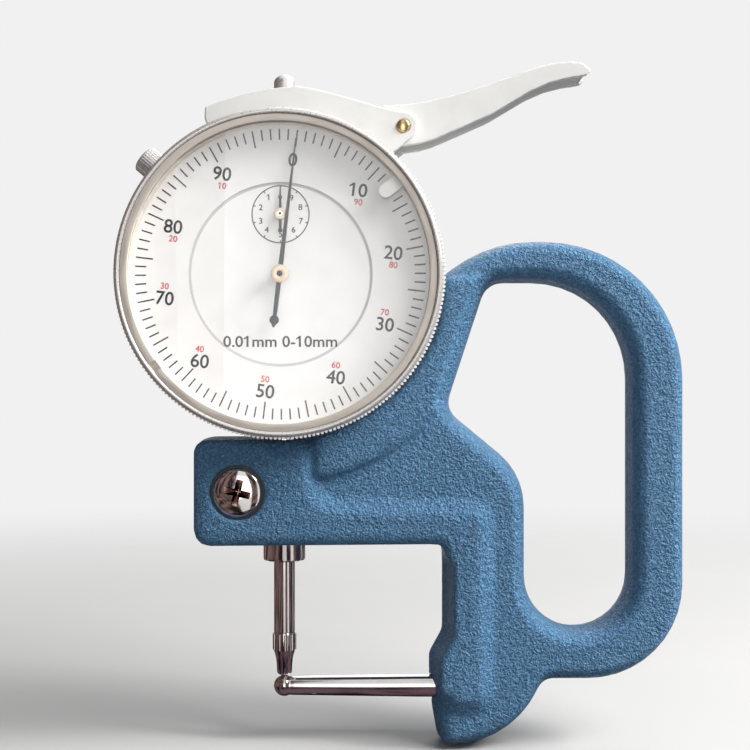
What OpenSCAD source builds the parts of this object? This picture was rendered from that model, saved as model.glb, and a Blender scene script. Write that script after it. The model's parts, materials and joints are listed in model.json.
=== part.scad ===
// Dial thickness gauge with a loop handle, a ball-ended anvil rod and a lift lever.
// Millimetres, +Z up. The origin is the measuring point, where the contact meets the anvil.
// The spindle slides along +Z, and the dial faces -Y.

/* [Measuring] */
// diameter of the spindle
spindle_d = 4; // [3:0.5:5]
// diameter of the indicator's stem
stem_d = 8; // [7.5:0.5:9]
// spindle travel
travel = 10; // [6:1:10]
// pitch of the rack
rack_pitch = 0.625; // [0.6:0.005:0.65]
// radius of the anvil's ball end
ball_r = 2; // [1.8:0.1:2.2]
// radius of the anvil rod where it enters the frame
anvil_r = 2.15; // [2:0.05:2.4]

/* [Frame] */
// distance from the spindle to the throat wall
throat_depth = 29.8; // [27:0.2:33]
// height of the arm's lower face above the measuring point
throat_height = 25.7; // [24:0.1:28]
// height of the arm
arm_height = 19.5; // [18:0.1:22]
// thickness over the raised bands
band_thick = 15; // [14:0.2:17]
// thickness of the web and the handle
web_thick = 12; // [11:0.2:13]
// distance from the spindle to the outer side of the handle
handle_x = 75.1; // [73.6:0.2:80]
// width of the handle bar
handle_bar = 10.4; // [9:0.2:12]
// width of the finger loop between the column and the handle
loop_width = 19.3; // [17.5:0.1:22]

/* [Indicator] */
// outer diameter of the case
case_d = 56.8; // [54:0.2:60]
// how far the bezel's grip stands out beyond the case
bezel_over = 1.6; // [1.4:0.1:2.4]
// wall of the case
case_wall = 1.6; // [1.2:0.1:2]
// height of the bezel, front to back
bezel_h = 7; // [6.6:0.2:8]
// number of knurl ridges on the bezel
knurl_count = 240; // [90:10:260]
// radius of the fixed inner dial
inner_dial_r = 16.6; // [16:0.2:18]
// how far the scale is turned clockwise
scale_turn = 6.8; // [0:0.1:20]
// length of the main pointer
pointer_len = 24.6; // [20:0.2:25.5]

/* [Lift lever] */
// distance from the spindle to the lever's pivot
pivot_x = 22.4; // [21:0.2:24]
// diameter of the pivot pin
pin_d = 2.5; // [2:0.1:2.8]
// width of the lever
lever_w = 8.8; // [8:0.2:9.2]
// thickness of the lever's sheet
lever_sheet = 1.2; // [1:0.1:1.4]

/* [Hidden] */
$fn = 72;
spindle_r = spindle_d / 2;
stem_r = stem_d / 2;
case_r = case_d / 2;
case_in = case_r - case_wall;
bezel_r = case_r + bezel_over;
run = 0.06;
arm_z0 = throat_height;
arm_z1 = throat_height + arm_height;
arm_x0 = -stem_r - 11.8;
dial_z = arm_z1 + case_r + 1.5;
cradle_r = case_r + 1;
hy = band_thick / 2;
wy = web_thick / 2;
tx = throat_depth;
boss_x = tx - 2.5;
anvil_z = -ball_r;
loop_x1 = handle_x - handle_bar;
loop_x0 = loop_x1 - loop_width;
step_x = loop_x0 - 5.2;
handle_top = dial_z + 7;
loop_top = handle_top - 7.9;
screw_x = -stem_r - 4.2;
screw_z = arm_z1 - 10.05;

// depths along Y, front is negative
case_y1 = hy - 1.4;
case_y0 = -hy - 0.3;
cover_t = 1.2;
bezel_y1 = -hy - 0.5;
bezel_y0 = bezel_y1 - bezel_h;
flange_y = bezel_y1 - 0.7;
clip_y1 = flange_y - 0.05;
clip_y0 = clip_y1 - 0.4;
ring_y1 = clip_y0 - 0.15;
ring_y0 = ring_y1 - 0.5;
crystal_y0 = bezel_y0 + 1.4;
crystal_y1 = crystal_y0 + 1;
inner_y0 = ring_y0 + 0.4;
inner_y1 = inner_y0 + 0.5;
rear_y1 = -spindle_r - 0.5;
rear_y0 = rear_y1 - 0.8;
front_y1 = inner_y1 + 1.7;
front_y0 = front_y1 - 0.8;
gear_a1 = rear_y0 - 0.5;
gear_a0 = gear_a1 - 0.6;
gear_b1 = gear_a0 - 0.4;
gear_b0 = gear_b1 - 0.6;
hair_y1 = gear_b0 - 0.6;
hair_y0 = hair_y1 - 0.4;
small_y1 = ring_y0 - 0.3;
small_y0 = small_y1 - 0.25;
main_y1 = small_y0 - 0.75;
main_y0 = main_y1 - 0.3;

// radii inside the bezel
spigot_r = case_r - 1.4;
bore_r = bezel_r - 1.4;
clip_r = bore_r - 0.7;
lip_r = bore_r - 0.25;
limit_r1 = lip_r - 0.1;
limit_r0 = limit_r1 - 1.25;
rim_r = bezel_r - 0.6;

// gear train: rack, 16 teeth, 100 teeth, 10 teeth, 100 teeth
gear_m = rack_pitch / PI;
pinion_n = 16;
wheel_n = 100;
centre_n = 10;
pinion_r = gear_m * pinion_n / 2;
wheel_r = gear_m * wheel_n / 2;
centre_r = gear_m * centre_n / 2;
mesh_d = wheel_r + centre_r;
rack_x = -spindle_r + 0.7;
wheel_x = rack_x - pinion_r;
wheel_z = dial_z - sqrt(mesh_d * mesh_d - wheel_x * wheel_x);
takeup_z = dial_z + mesh_d;
mesh_a = atan2(dial_z - wheel_z, -wheel_x);
centre_phase = mesh_a + 180 + 180 / centre_n;
lead = centre_phase - 90 - 360 / centre_n * round((centre_phase - 90) / (360 / centre_n));
takeup_phase = 270 + 180 / wheel_n - lead * centre_r / wheel_r;

// lift lever and bracket
case_top = dial_z + case_r;
pivot_z = case_top - 0.6;
brim_z = case_top + 4.9;
cap_top = case_top + 10.2;
cheek_y1 = lever_w / 2 + 1.6;
cheek_y0 = lever_w / 2 + 0.2;
floor_r = case_r + 1.5;

// flat shapes in X and Z, thickened along Y
module slab(y0, y1) {
    translate([0, y1, 0]) rotate([90, 0, 0]) linear_extrude(height = y1 - y0) children();
}

// a disc along Y
module ydisc(x, z, r, y0, y1) {
    translate([x, y1, z]) rotate([90, 0, 0]) cylinder(r = r, h = y1 - y0);
}

// a profile of radius and forward depth, turned about an axis along Y
module yturn(x, z) {
    translate([x, 0, z]) rotate([90, 0, 0]) rotate_extrude() children();
}

// a ring along Y
module yring(x, z, r0, r1, y0, y1) {
    difference() {
        ydisc(x, z, r1, y0, y1);
        ydisc(x, z, r0, y0 - 1, y1 + 1);
    }
}

// pieces repeated around the dial's axis
module around(a) {
    translate([0, 0, dial_z]) rotate([0, -a, 0]) children();
}

function unit(v) = v / norm(v);
function on(r, a) = [r * cos(a), dial_z + r * sin(a)];

// the arc that rounds corner i of an outline of [x, z, radius, steps]
function arc_at(v, i) = let (
    n = len(v),
    p = v[(i + n - 1) % n],
    c = v[i],
    q = v[(i + 1) % n],
    at = [c[0], c[1]],
    u = unit([p[0], p[1]] - at),
    w = unit([q[0], q[1]] - at),
    half = acos(u * w) / 2,
    side = sign(u[1] * w[0] - u[0] * w[1]),
    o = at + unit(u + w) * c[2] / sin(half),
    s = at + u * c[2] / tan(half)
) [o, c[2], atan2(s[1] - o[1], s[0] - o[0]), side * (180 - 2 * half), side, c[3]];

// the outline moved inwards by d, with the same number of points for each d
function inset(v, d) = [for (i = [0 : len(v) - 1]) let (a = arc_at(v, i)) for (k = [0 : a[5]])
    let (t = a[2] + a[3] * k / a[5]) a[0] + (a[1] - d * a[4]) * [cos(t), sin(t)]];

// which way the corner a, b, c turns, and whether a triangle holds the point p
function turn(a, b, c) = (b[0] - a[0]) * (c[1] - a[1]) - (b[1] - a[1]) * (c[0] - a[0]);
function holds(a, b, c, p) = turn(a, b, p) > -0.000001 && turn(b, c, p) > -0.000001
    && turn(c, a, p) > -0.000001;

// corners of the loop r that can be cut off as triangles, and the flat face made of them
function is_ear(v, r, i) = let (n = len(r), a = r[(i + n - 1) % n], b = r[i], c = r[(i + 1) % n])
    turn(v[a], v[b], v[c]) > 0.000001
    && len([for (k = r) if (k != a && k != b && k != c && holds(v[a], v[b], v[c], v[k])) k]) == 0;
function first_ear(v, r, i = 0) = i > len(r) - 2 || is_ear(v, r, i) ? i : first_ear(v, r, i + 1);
function ears(v, r) = len(r) < 4 ? [r] : let (n = len(r), i = first_ear(v, r))
    concat([[r[(i + n - 1) % n], r[i], r[(i + 1) % n]]], ears(v, [for (k = [0 : n - 1]) if (k != i) r[k]]));

// a body through levels of [y, inset] of one outline, the same inset at both ends
module loft(v, levels) {
    n = len(inset(v, 0));
    m = len(levels) - 1;
    points = [for (s = levels) for (p = inset(v, s[1])) [p[0], s[0], p[1]]];
    flat = ears(inset(v, levels[0][1]), [for (k = [0 : n - 1]) k]);
    front = [for (t = flat) [t[2], t[1], t[0]]];
    back = [for (t = flat) [m * n + t[0], m * n + t[1], m * n + t[2]]];
    sides = [for (s = [0 : m - 1]) for (k = [0 : n - 1]) let (j = (k + 1) % n)
        [s * n + k, s * n + j, s * n + n + j, s * n + n + k]];
    polyhedron(points = points, faces = concat(front, back, sides));
}

// levels for both sides of a body from one side's list
function both(levels) = concat([for (i = [len(levels) - 1 : -1 : 1]) [-levels[i][0], levels[i][1]]], levels);

function fit(h, list) = [for (s = list) [s[0] * h, s[1]]];

// outline of the whole casting, [x, z, radius, steps], counter-clockwise
foot_x = boss_x + 15.7;
in_e = 0.35;
base_r = cradle_r + in_e;
base_end = on(base_r, -4);
base_low = on(base_r, -75);
base_turn = on(base_r / cos(35.5), -39.5);
base_outline = [
    [arm_x0 + in_e, arm_z0 + in_e, 2.5, 3],
    [tx + in_e, arm_z0 + in_e, 2, 3],
    [tx + in_e, 8.8, 3, 2],
    [boss_x + in_e, 4.3, 2.5, 2],
    [boss_x + in_e + 0.1, -5, 10, 2],
    [boss_x + 1.9, -12.6, 2.5, 3],
    [foot_x, -12.6, 18, 7],
    [foot_x + 5.8, -0.3, 2.5, 3],
    [handle_x, -0.3, 18.1, 10],
    [handle_x, handle_top, 26, 12],
    [base_end[0] + 9, handle_top, 25.5, 5],
    [base_end[0] + 0.17, base_end[1] + 2.47, 2.5, 3],
    [base_turn[0], base_turn[1], base_r, 10],
    [base_low[0] - (base_low[1] - arm_z1 + in_e) / tan(15), arm_z1 - in_e, 5, 2],
    [arm_x0 + in_e, arm_z1 - in_e, 2.5, 3]
];

// raised band along the arm and down the throat column, with a wide chamfer towards the web
band_z = arm_z1 - 10.25;
land_x = stem_r + 3.9;
in_b = 0.1;
band_outline = [
    [arm_x0 + in_b, arm_z0 + in_b, 4.4, 3],
    [tx + in_b, arm_z0 + in_b, 2, 3],
    [tx + in_b, 8.8, 3, 2],
    [boss_x + in_b, 4.3, 4.4, 2],
    [boss_x + in_b + 0.2, -7, 4.4, 3],
    [step_x, -7, 5, 4],
    [step_x, band_z, 5.5, 4],
    [land_x, band_z, 2.6, 3],
    [land_x, arm_z1 - in_b, 4.4, 3],
    [arm_x0 + in_b, arm_z1 - in_b, 4.4, 3]
];

// the same band along its outer edges, which are rounded more tightly
column_x = (tx + step_x) / 2;
rim_outline = [
    [arm_x0, arm_z0, 2.5, 3],
    [tx, arm_z0, 2, 3],
    [tx, 8.8, 3, 2],
    [boss_x, 4.3, 2.5, 2],
    [boss_x + 0.1, -4, 2.2, 2],
    [column_x, -2, 2.2, 2],
    [column_x, arm_z0 + 5, 1.5, 1],
    [land_x - 4.6, arm_z0 + 5, 1.5, 1],
    [land_x - 4.6, arm_z1 - 5.5, 2.2, 1],
    [1 - stem_r, arm_z1, 2.2, 1],
    [arm_x0, arm_z1, 2.5, 3]
];

// raised band that follows the indicator's case
cradle_top = on(cradle_r, -4);
cradle_turn = on(cradle_r / cos(34), -38);
cradle_low = on(cradle_r, -72);
outer_r = cradle_r + 9.6;
outer_low = on(outer_r, -78);
outer_turn = on(outer_r / cos(37.5), -40.5);
outer_top = on(outer_r, -3);
cradle_outline = [
    [cradle_top[0] + 0.18, cradle_top[1] + 2.6, 2.8, 3],
    [cradle_turn[0], cradle_turn[1], cradle_r, 10],
    [cradle_low[0] - 3.8, cradle_low[1] - 1.2, 2.5, 2],
    [outer_low[0] - 3.4, outer_low[1] - 0.73, 2.5, 2],
    [outer_turn[0], outer_turn[1], outer_r, 10],
    [outer_top[0] + 0.16, outer_top[1] + 3, 3, 3]
];

// finger loop
loop_r = loop_width / 2 - 0.05;
loop_outline = [
    [cradle_r + 1.1, dial_z - 24.7, 3.8, 4],
    [loop_x0, throat_height + 12.4, 13, 5],
    [loop_x0, 9.3, loop_r, 8],
    [loop_x1, 9.3, loop_r, 8],
    [loop_x1, loop_top, 18, 10],
    [loop_x0 - 7.1, loop_top, 4, 4]
];

band_levels = both(fit(hy, [[0, 0], [0.5, 0.3], [0.79, 0.7], [1, 3.8]]));
rim_levels = both(fit(hy - 0.05, [[0, 0], [0.85, 0.3], [0.95, 0.9], [1, 1.9]]));
cradle_levels = both(fit(hy - 0.12, [[0, 0], [0.84, 0.6], [0.95, 1.2], [1, 2]]));
base_levels = both(fit(wy, [[0, 0], [0.6, 0.5], [0.88, 1.3], [1, 2.4]]));
loop_levels = both(concat(fit(wy, [[0, 0], [0.6, -0.6], [0.88, -1.5], [1, -2.6]]),
    [[hy + 1, -3.2]]));

module frame_casting() {
    color([0.33, 0.46, 0.58]) difference() {
        union() {
            loft(base_outline, base_levels);
            loft(band_outline, band_levels);
            loft(rim_outline, rim_levels);
            loft(cradle_outline, cradle_levels);
        }
        loft(loop_outline, loop_levels);
        translate([0, 0, arm_z0 - 3]) cylinder(r = stem_r, h = arm_height + 9);
        translate([boss_x - 3, 0, anvil_z]) rotate([0, 90, 0]) cylinder(r = anvil_r, h = 19);
        ydisc(screw_x, screw_z, 5.1, -hy - 1, -hy + 3);
        ydisc(screw_x, screw_z, 2.5, -hy - 1, hy - 2);
        translate([arm_x0 - 1, -0.5, arm_z0 - 1]) cube([-arm_x0 - stem_r + 1.6, 1, arm_height + 2]);
    }
}

module anvil() {
    color([0.72, 0.72, 0.74]) translate([0, 0, anvil_z]) union() {
        sphere(r = ball_r);
        rotate([0, 90, 0]) cylinder(r1 = ball_r - 0.15, r2 = anvil_r, h = boss_x - 1.5);
        translate([boss_x - 1.5, 0, 0]) rotate([0, 90, 0]) cylinder(r = anvil_r, h = 17.4);
    }
}

module clamp_screw() {
    color([0.85, 0.86, 0.88]) difference() {
        yturn(screw_x, screw_z) polygon([[0, -hy + 2.5], [2.45, -hy + 2.5], [2.45, hy - 3],
            [4.7, hy - 3], [4.7, hy - 1.6], [4.3, hy - 0.8], [3.4, hy - 0.3], [2, hy], [0, hy]]);
        for (a = [20, 110]) translate([screw_x, -hy, screw_z]) rotate([0, a, 0])
            cube([5.2, 3, 1], center = true);
    }
}

module stem() {
    color([0.78, 0.78, 0.8]) rotate_extrude() polygon([[spindle_r + 0.5, arm_z0 - 3.9],
        [stem_r - 0.4, arm_z0 - 3.9], [stem_r, arm_z0 - 3.5], [stem_r, dial_z - case_in + 1.2],
        [spindle_r + 0.5, dial_z - case_in + 1.2]]);
}

module lower_bush() {
    color([0.8, 0.66, 0.36]) translate([0, 0, arm_z0 - 3.4]) difference() {
        cylinder(r = spindle_r + 0.5, h = 9.4);
        translate([0, 0, -1]) cylinder(r = spindle_r + run, h = 12);
    }
}

lug_r = case_r - 3.6;
lock_a = 139.5;
lock_y = -hy + 2.8;
bush_r = spindle_r + 1.2;

module dial_case() {
    color([0.8, 0.8, 0.82]) difference() {
        union() {
            yturn(0, dial_z) polygon([[case_in, -case_y1], [case_r, -case_y1], [case_r, -case_y0],
                [spigot_r, -case_y0], [spigot_r, -clip_y1], [spigot_r - 1.6, -clip_y1],
                [spigot_r - 1.6, -case_y0 - 1], [case_in, -case_y0 - 1]]);
            for (a = [45 : 90 : 315]) around(a) ydisc(lug_r, 0, 2.4, rear_y1, case_y1 - 0.3);
        }
        for (a = [45 : 90 : 315]) around(a) ydisc(lug_r, 0, 0.8, rear_y1 - 1, rear_y1 + 3.1);
        for (a = [45 : 90 : 315]) around(a) ydisc(lug_r, 0, 0.8, case_y1 - 3.1, case_y1 + 1);
        translate([0, 0, dial_z - case_r - 3]) cylinder(r = stem_r, h = 12);
        translate([0, 0, dial_z + case_in - 6]) cylinder(r = bush_r, h = 12);
        around(lock_a) translate([case_in - 3, lock_y, 0]) rotate([0, 90, 0]) cylinder(r = 2, h = 9);
        for (a = [70, 106]) around(a) translate([case_in - 3, 0, 0]) rotate([0, 90, 0])
            cylinder(r = 0.9, h = 9);
        for (a = [30, 150, 270]) around(a) ydisc(spigot_r - 0.8, 0, 0.4, clip_y1 - 1, clip_y1 + 1.3);
    }
}

module back_cover() {
    color([0.75, 0.75, 0.77]) difference() {
        yturn(0, dial_z) polygon([[0, -case_y1 - cover_t], [case_r - 1, -case_y1 - cover_t],
            [case_r, -case_y1 - cover_t + 0.6], [case_r, -case_y1], [0, -case_y1]]);
        for (a = [45 : 90 : 315]) around(a) {
            ydisc(lug_r, 0, 0.9, case_y1 - 1, case_y1 + 3);
            ydisc(lug_r, 0, 1.7, case_y1 + cover_t - 0.6, case_y1 + 3);
        }
    }
}

module cover_screws() {
    color([0.6, 0.6, 0.62]) for (a = [45 : 90 : 315]) around(a) difference() {
        union() {
            ydisc(lug_r, 0, 0.75, case_y1 - 3, case_y1 + cover_t);
            ydisc(lug_r, 0, 1.6, case_y1 + cover_t - 0.6, case_y1 + cover_t - 0.05);
        }
        translate([lug_r - 2, case_y1 + cover_t - 0.3, -0.2]) cube([4, 1, 0.4]);
    }
}

module upper_bush() {
    color([0.8, 0.66, 0.36]) translate([0, 0, case_top - case_wall - 1.5]) difference() {
        cylinder(r = bush_r, h = case_wall + 3.1);
        translate([0, 0, -1]) cylinder(r = spindle_r + run, h = case_wall + 6);
    }
}

guide_z = dial_z - 20;
post_x = spindle_r + 4.2;
post_z = dial_z - 21;
arm_z = dial_z + 9;
plate_r = spigot_r - 4;
pillar_at = [[plate_r - 6, 0], [6 - plate_r, 0], (plate_r - 2) * [cos(64.7), -sin(64.7)]];

module rear_plate() {
    color([0.82, 0.7, 0.42]) difference() {
        ydisc(0, dial_z, case_in - 0.5, rear_y0, rear_y1);
        ydisc(0, dial_z, 0.5 + run, rear_y0 - 1, rear_y1 + 1);
        ydisc(wheel_x, wheel_z, 0.7 + run, rear_y0 - 1, rear_y1 + 1);
        ydisc(0, takeup_z, 0.5 + run, rear_y0 - 1, rear_y1 + 1);
        translate([-0.68, rear_y0 - 1, guide_z - 1]) cube([1.36, 3, travel + 2]);
        translate([0, 0, dial_z - case_in - 1]) cylinder(r = stem_r + 0.3, h = 2.6);
        translate([0, 0, dial_z + case_in - 1.9]) cylinder(r = bush_r + 0.3, h = 3);
        for (a = [45 : 90 : 315]) around(a) ydisc(lug_r, 0, 0.9, rear_y0 - 1, rear_y1 + 1);
    }
}

module case_screws() {
    color([0.6, 0.6, 0.62]) for (a = [45 : 90 : 315]) around(a) difference() {
        union() {
            ydisc(lug_r, 0, 0.75, rear_y0 - 0.1, rear_y1 + 3);
            ydisc(lug_r, 0, 1.4, rear_y0 - 0.8, rear_y0);
        }
        translate([lug_r - 2, rear_y0 - 1.4, -0.2]) cube([4, 1, 0.4]);
    }
}

module front_plate() {
    color([0.82, 0.7, 0.42]) difference() {
        ydisc(0, dial_z, plate_r, front_y0, front_y1);
        ydisc(0, dial_z, 1.2, front_y0 - 1, front_y1 + 1);
        ydisc(wheel_x, wheel_z, 1.2, front_y0 - 1, front_y1 + 1);
        ydisc(0, takeup_z, 1.2, front_y0 - 1, front_y1 + 1);
        for (p = pillar_at) ydisc(p[0], dial_z + p[1], 0.6, front_y0 - 1, front_y1 + 1);
    }
}

module plate_pillars() {
    color([0.8, 0.66, 0.36]) for (p = pillar_at) difference() {
        ydisc(p[0], dial_z + p[1], 1.5, front_y1, rear_y0);
        ydisc(p[0], dial_z + p[1], 0.6, front_y1 - 1, front_y1 + 1.6);
    }
}

module pillar_screws() {
    color([0.6, 0.6, 0.62]) for (p = pillar_at) difference() {
        union() {
            ydisc(p[0], dial_z + p[1], 0.55, front_y0 - 0.1, front_y1 + 1.5);
            ydisc(p[0], dial_z + p[1], 1.3, front_y0 - 0.5, front_y0);
        }
        translate([p[0] - 2, front_y0 - 1.25, dial_z + p[1] - 0.2]) cube([4, 1, 0.4]);
    }
}

module pivot_jewels() {
    color([0.7, 0.15, 0.25]) {
        yring(0, dial_z, 0.5 + run, 1.2, front_y0, front_y1);
        yring(wheel_x, wheel_z, 0.7 + run, 1.2, front_y0, front_y1);
        yring(0, takeup_z, 0.5 + run, 1.2, front_y0, front_y1);
    }
}

module inner_dial() {
    color([0.95, 0.94, 0.93]) difference() {
        union() {
            ydisc(0, dial_z, inner_dial_r, inner_y0, inner_y1);
            for (x = [-11, 11]) ydisc(x, dial_z - 5, 0.8, inner_y1 - 0.1, front_y0);
        }
        ydisc(0, dial_z, 0.8, inner_y0 - 1, inner_y1 + 1);
        ydisc(0, takeup_z, 0.8, inner_y0 - 1, inner_y1 + 1);
    }
}

module bezel_clips() {
    color([0.7, 0.7, 0.72]) for (a = [30, 150, 270]) around(a) difference() {
        intersection() {
            yring(0, 0, spigot_r - 1.6, clip_r, clip_y0, clip_y1);
            translate([spigot_r - 4, clip_y0 - 1, -2.6]) cube([8, 3, 5.2]);
        }
        ydisc(spigot_r - 0.8, 0, 0.4, clip_y0 - 1, clip_y1 + 1);
        ydisc(spigot_r - 0.8, 0, 0.75, clip_y0 - 1, clip_y0 + 0.2);
    }
}

module clip_screws() {
    color([0.6, 0.6, 0.62]) for (a = [30, 150, 270]) around(a) {
        ydisc(spigot_r - 0.8, 0, 0.37, clip_y0 + 0.1, clip_y1 + 1.2);
        ydisc(spigot_r - 0.8, 0, 0.7, clip_y0 + 0.02, clip_y0 + 0.2);
    }
}

// a coil of wire as one body, along +Z from the origin
module coil(r, wire, turns, pitch) {
    steps = 14;
    n = turns * steps;
    k = 5;
    at = [for (i = [0 : n]) for (j = [0 : k - 1]) let (a = 360 * i / steps, b = 360 * j / k)
        [(r + wire * cos(b)) * cos(a), (r + wire * cos(b)) * sin(a), pitch * i / steps + wire * sin(b)]];
    low = [[for (j = [0 : k - 1]) j]];
    high = [[for (j = [k - 1 : -1 : 0]) n * k + j]];
    side = [for (i = [0 : n - 1]) for (j = [0 : k - 1]) let (h = (j + 1) % k)
        each [[i * k + j, i * k + k + j, i * k + k + h], [i * k + j, i * k + k + h, i * k + h]]];
    polyhedron(points = at, faces = concat(low, high, side));
}

module return_spring() {
    turns = 20;
    span = arm_z - post_z - 0.6 - 0.8 - 0.5;
    color([0.7, 0.7, 0.72]) translate([post_x, 0, post_z + 0.8 + 0.22])
        coil(1.2, 0.2, turns, span / turns);
}

module spring_post() {
    color([0.7, 0.7, 0.72]) ydisc(post_x, post_z, 0.8, rear_y1, 2);
}

// a flat spiral about an axis along Y
module spiral(r0, r1, turns, half) {
    n = turns * 24;
    path = [for (i = [0 : n]) [r0 + (r1 - r0) * i / n, 360 * i / 24]];
    outer = [for (p = path) (p[0] + half) * [cos(p[1]), sin(p[1])]];
    inner = [for (i = [n : -1 : 0]) (path[i][0] - half) * [cos(path[i][1]), sin(path[i][1])]];
    polygon(concat(outer, inner));
}

module hairspring() {
    color([0.75, 0.78, 0.85]) translate([0, 0, takeup_z]) slab(hair_y0, hair_y1)
        spiral(1.03, 5.85, 5, 0.06);
}

module hairspring_stud() {
    color([0.8, 0.66, 0.36]) ydisc(6.41, takeup_z, 0.5, front_y1, hair_y1 + 0.2);
}

// front and back cheeks of the bracket, [x, height above the case]
cheek = [[-14.4, 0.8], [-14.3, 2.9], [-10.9, 4.2], [-6.4, 5.5], [-2.5, 6.3], [0, 6.6], [2.5, 6.75],
    [4.7, 6.55], [9.2, 5.5], [13.6, 4.3], [17.5, 3.1]];

module cheek_shape() {
    difference() {
        union() {
            polygon(concat([for (i = [len(cheek) - 1 : -1 : 0]) [cheek[i][0], case_top + cheek[i][1]]],
                [on(case_r - 1, 117), on(case_r - 4, 90), on(case_r - 1, 50), [pivot_x - 1.2, pivot_z - 4.4],
                [pivot_x + 1.9, pivot_z - 1.8], [pivot_x + 1.5, pivot_z + 2.1]]));
            translate([pivot_x, pivot_z]) circle(r = 2.6);
        }
        translate([0, dial_z]) circle(r = case_r);
        translate([pivot_x, pivot_z]) circle(r = pin_d / 2);
    }
}

module floor_shape() {
    intersection() {
        difference() {
            translate([0, dial_z]) circle(r = floor_r);
            translate([0, dial_z]) circle(r = case_r);
        }
        polygon([[0, dial_z], on(60, 114.5), on(60, 82), on(60, 51)]);
    }
}

module lift_bracket() {
    color([0.93, 0.93, 0.92]) difference() {
        union() {
            slab(-cheek_y1, -cheek_y0) cheek_shape();
            slab(cheek_y0, cheek_y1) cheek_shape();
            slab(-cheek_y1 + 0.3, cheek_y1 - 0.3) floor_shape();
        }
        translate([0, 0, case_top - 3]) cylinder(r = bush_r, h = 8);
        for (a = [70, 106]) around(a) translate([case_r - 2, 0, 0]) rotate([0, 90, 0]) {
            cylinder(r = 0.9, h = 8);
            translate([0, 0, 3.1]) cylinder(r = 1.7, h = 6);
        }
    }
}

module bracket_screws() {
    color([0.6, 0.6, 0.62]) for (a = [70, 106]) around(a) translate([case_r - 1.4, 0, 0]) rotate([0, 90, 0])
        difference() {
            union() {
                cylinder(r = 0.85, h = 2.6);
                translate([0, 0, 2.5]) cylinder(r = 1.6, h = 1);
            }
            translate([-2, -0.2, 3.1]) cube([4, 0.4, 1]);
        }
}

module pivot_pin() {
    color([0.8, 0.66, 0.36]) yturn(pivot_x, pivot_z) polygon([[0, -cheek_y1 - 0.3],
        [pin_d / 2 - 0.2, -cheek_y1 - 0.3], [pin_d / 2, -cheek_y1 - 0.1], [pin_d / 2, cheek_y1 + 0.1],
        [pin_d / 2 - 0.25, cheek_y1 + 0.35], [0, cheek_y1 + 0.45]]);
}

module lock_bush() {
    color([0.8, 0.66, 0.36]) around(lock_a) translate([case_in, lock_y, 0]) rotate([0, 90, 0]) difference() {
        cylinder(r = 2, h = case_wall + 1.3);
        translate([0, 0, -1]) cylinder(r = 1.3, h = case_wall + 4);
    }
}

rack_lo = wheel_z - travel - 2.6;
rack_hi = wheel_z + 2.6;
rack_steps = floor((wheel_z - rack_lo) / rack_pitch - 0.5);
rack_more = floor((rack_hi - wheel_z) / rack_pitch - 0.5);
rack_tip = rack_x - 0.8 * gear_m;
rack_root = rack_x + 1.1 * gear_m;
rod_z0 = 8.3;
rod_z1 = case_top + 2.2;

module spindle_rod() {
    color([0.8, 0.8, 0.82]) difference() {
        translate([0, 0, rod_z0]) cylinder(r = spindle_r, h = rod_z1 - rod_z0);
        translate([-spindle_r - 1, -spindle_r - 1, rack_lo])
            cube([spindle_r + 1 + rack_tip, spindle_d + 2, rack_hi - rack_lo]);
        for (i = [-rack_steps : rack_more]) translate([0, spindle_r + 1, wheel_z + i * rack_pitch])
            rotate([90, 0, 0]) linear_extrude(height = spindle_d + 2) polygon([
                [rack_tip - 0.1, -0.40 * rack_pitch], [rack_root, -0.20 * rack_pitch],
                [rack_root, 0.20 * rack_pitch], [rack_tip - 0.1, 0.40 * rack_pitch]]);
        ydisc(0, guide_z, 0.6, -spindle_r - 1, 0);
        translate([0, 0, arm_z]) rotate([0, 90, 0]) cylinder(r = 0.6, h = spindle_r + 1);
        translate([0, 0, rod_z1 - 2.5]) cylinder(r = 0.8, h = 3);
        translate([0, 0, rod_z0 - 1]) cylinder(r = 0.9, h = 3.6);
    }
}

// a star of ridges for knurls
function ridges(n, r0, r1) = [for (i = [0 : 2 * n - 1]) (i % 2 == 0 ? r1 : r0)
    * [cos(180 * i / n), sin(180 * i / n)]];

module contact_point() {
    color([0.75, 0.75, 0.78]) union() {
        rotate_extrude() polygon([[0, 0.02], [0.7, 0.06], [1.1, 0.2], [1.35, 0.5], [spindle_r - 0.02, 4.5],
            [spindle_r, 4.7], [spindle_r, 8.1], [spindle_r - 0.2, rod_z0], [0.85, rod_z0],
            [0.85, rod_z0 + 2.4], [0, rod_z0 + 2.4]]);
        translate([0, 0, 4.9]) linear_extrude(height = 3)
            polygon(ridges(30, spindle_r + 0.05, spindle_r + 0.25));
    }
}

module lift_cap() {
    color([0.82, 0.82, 0.84]) rotate_extrude() polygon([[0, rod_z1 - 2.4], [0.75, rod_z1 - 2.4],
        [0.75, rod_z1], [1.3, rod_z1], [1.3, brim_z], [3, brim_z], [3, brim_z + 0.6], [2, brim_z + 1],
        [2, cap_top - 1.5], [1.88, cap_top - 1], [1.55, cap_top - 0.5], [1, cap_top - 0.15],
        [0.45, cap_top - 0.03], [0, cap_top]]);
}

module guide_pin() {
    color([0.7, 0.7, 0.72]) ydisc(0, guide_z, 0.6, rear_y0 - 0.2, -0.1);
}

module spring_arm() {
    color([0.7, 0.7, 0.72]) translate([0.1, 0, arm_z]) rotate([0, 90, 0])
        cylinder(r = 0.6, h = post_x + 1.9);
}

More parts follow.
